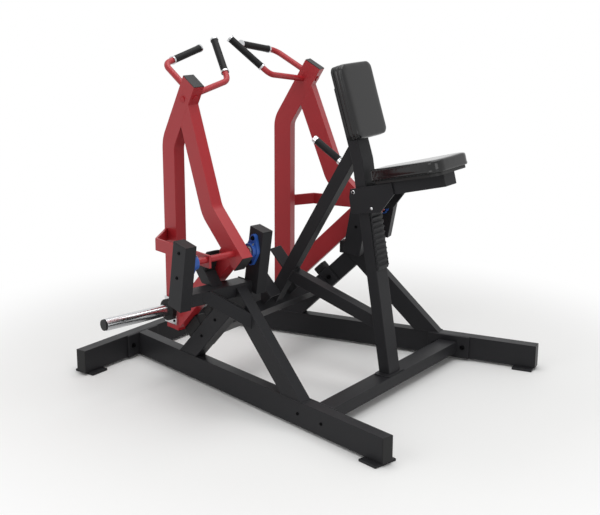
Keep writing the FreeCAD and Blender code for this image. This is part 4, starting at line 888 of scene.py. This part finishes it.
# %% Pads: seams
SEAM_WIDTH = 2.4 * MILLIMETRE
DRAWN_IN = 1.6 * MILLIMETRE
PIPED = -1.6 * MILLIMETRE
CHEST_SEAMS = (0.36, 0.74)
SEAT_SEAMS = (0.16,)


def sew_seam(piece, axes, low, high, share, depth):
    """Moves the pad's side band along a seam: depth * exp(-(distance / width) squared), inward.

    share is the seam's height as a part of the pad's thickness.  The depth is also multiplied by
    one minus the part of the normal that points outward, so that the flat faces stay flat.
    """
    local = read_points(piece) @ axes.T
    normals = read_points(piece, "normal") @ axes.T
    height = low[2] + share * (high[2] - low[2])
    bell = np.exp(-((local[:, 2] - height) / SEAM_WIDTH) ** 2)
    sideways = 1 - np.abs(normals[:, 2])
    local -= normals * (bell * sideways * depth)[:, None]
    write_points(piece, local @ axes)


for piece, axes, low, high, shares, depth in (
        (chest_pad, chest_axes, chest_low, chest_high, CHEST_SEAMS, DRAWN_IN),
        (seat_pad, seat_axes, seat_low, seat_high, SEAT_SEAMS, PIPED)):
    for share in shares:
        sew_seam(piece, axes, low, high, share, depth)
    piece.data.materials.clear()
    piece.data.materials.append(vinyl)
    piece.data.update()
    print(piece.name, len(piece.data.polygons), "faces")
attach(chest_pad, "frame")
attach(seat_pad, "seat")
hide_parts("chest_pad")
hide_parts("seat_pad")

# %% [markdown]
# A product shot stands on white: a pale floor that fades into a white surround.  More light would
# whiten the floor too, but it would wash out the red and the black.  So the floor glows toward its
# edge, and only for rays that come from the camera or from a shiny or clear surface.  The machine
# itself is lit as plainly as before.

# %% Studio floor
FLOOR_REACH = 14.0
FADE_START = 1.05
FADE_END = 2.0
WHITE = (1, 1, 1, 1)


def background_rays(tree):
    """One where the background is seen and zero where it lights: the largest of three ray kinds."""
    rays = add(tree, "ShaderNodeLightPath").outputs
    seen = add(tree, "ShaderNodeMath", {0: rays["Is Camera Ray"], 1: rays["Is Glossy Ray"]},
               operation="MAXIMUM")
    return add(tree, "ShaderNodeMath", {0: seen.outputs["Value"], 1: rays["Is Transmission Ray"]},
               operation="MAXIMUM").outputs["Value"]


floor_mesh = bpy.data.meshes.new("Floor")
floor_mesh.from_pydata([(-FLOOR_REACH, -FLOOR_REACH, 0), (FLOOR_REACH, -FLOOR_REACH, 0),
                        (FLOOR_REACH, FLOOR_REACH, 0), (-FLOOR_REACH, FLOOR_REACH, 0)], [],
                       [(0, 1, 2, 3)])
floor = bpy.data.objects.new("Floor", floor_mesh)
bpy.context.collection.objects.link(floor)
# Matt white paint: even and dull, so that it takes the machine's shadow and shows no lamp.
floor_paint, tree = new_material("white_studio_floor")
place = add(tree, "ShaderNodeTexCoord").outputs["Object"]
away = add(tree, "ShaderNodeVectorMath", {0: place}, operation="LENGTH")
fade = add(tree, "ShaderNodeMapRange", {"Value": away.outputs["Value"], "From Min": FADE_START,
                                        "From Max": FADE_END}, interpolation_type="SMOOTHSTEP")
matt = add(tree, "ShaderNodeBsdfPrincipled", {"Base Color": linear("#f2f2f1"), "Roughness": 0.6})
glow = add(tree, "ShaderNodeEmission", {"Color": WHITE, "Strength": 1.0})
share = add(tree, "ShaderNodeMath", {0: fade.outputs["Result"], 1: background_rays(tree)},
            operation="MULTIPLY")
blend = add(tree, "ShaderNodeMixShader", {0: share.outputs["Value"], 1: matt.outputs["BSDF"],
                                          2: glow.outputs["Emission"]})
add(tree, "ShaderNodeOutputMaterial", {"Surface": blend.outputs["Shader"]})
floor_mesh.materials.append(floor_paint)
print("floor:", floor_paint.name, "over", 2 * FLOOR_REACH, "metres")

# %% [markdown]
# The surround is a plain white sky.  At full strength it would light the machine from everywhere
# and flatten it, so it lights at half strength, and is full white only where it is seen.

# %% Surround
SURROUND_LEVEL = 0.50
world = bpy.data.worlds.new("Studio")
bpy.context.scene.world = world
world.use_nodes = True
tree = world.node_tree
tree.nodes.clear()
level = add(tree, "ShaderNodeMapRange", {"Value": background_rays(tree),
                                         "To Min": SURROUND_LEVEL, "To Max": 1.0})
sky = add(tree, "ShaderNodeBackground", {"Color": WHITE, "Strength": level.outputs["Result"]})
add(tree, "ShaderNodeOutputWorld", {"Surface": sky.outputs["Background"]})
print("surround:", world.name, "lighting at", SURROUND_LEVEL)

# %% [markdown]
# Bare bulbs would give hard shadows.  One broad soft light overhead and two weaker ones at the
# sides keep the shadow a soft pool under the machine and give the upright faces a little shape.

# %% Lights
AIM = (0, 0, 0.7)


def softbox(name, place, size, power):
    """A square area light at place, pointing at the middle of the machine."""
    data = bpy.data.lights.new(name, "AREA")
    data.size = size
    data.energy = power
    lamp = bpy.data.objects.new(name, data)
    bpy.context.collection.objects.link(lamp)
    lamp.location = place
    lamp.rotation_euler = (Vector(AIM) - Vector(place)).to_track_quat("-Z", "Y").to_euler()


softbox("overhead", (0.0, -0.3, 3.6), 3.0, 71)
softbox("left", (-3.6, 0.8, 2.2), 2.0, 22)
softbox("front", (-2.0, -3.2, 1.2), 1.5, 14)
scene = bpy.context.scene
scene.view_settings.view_transform = "Standard"
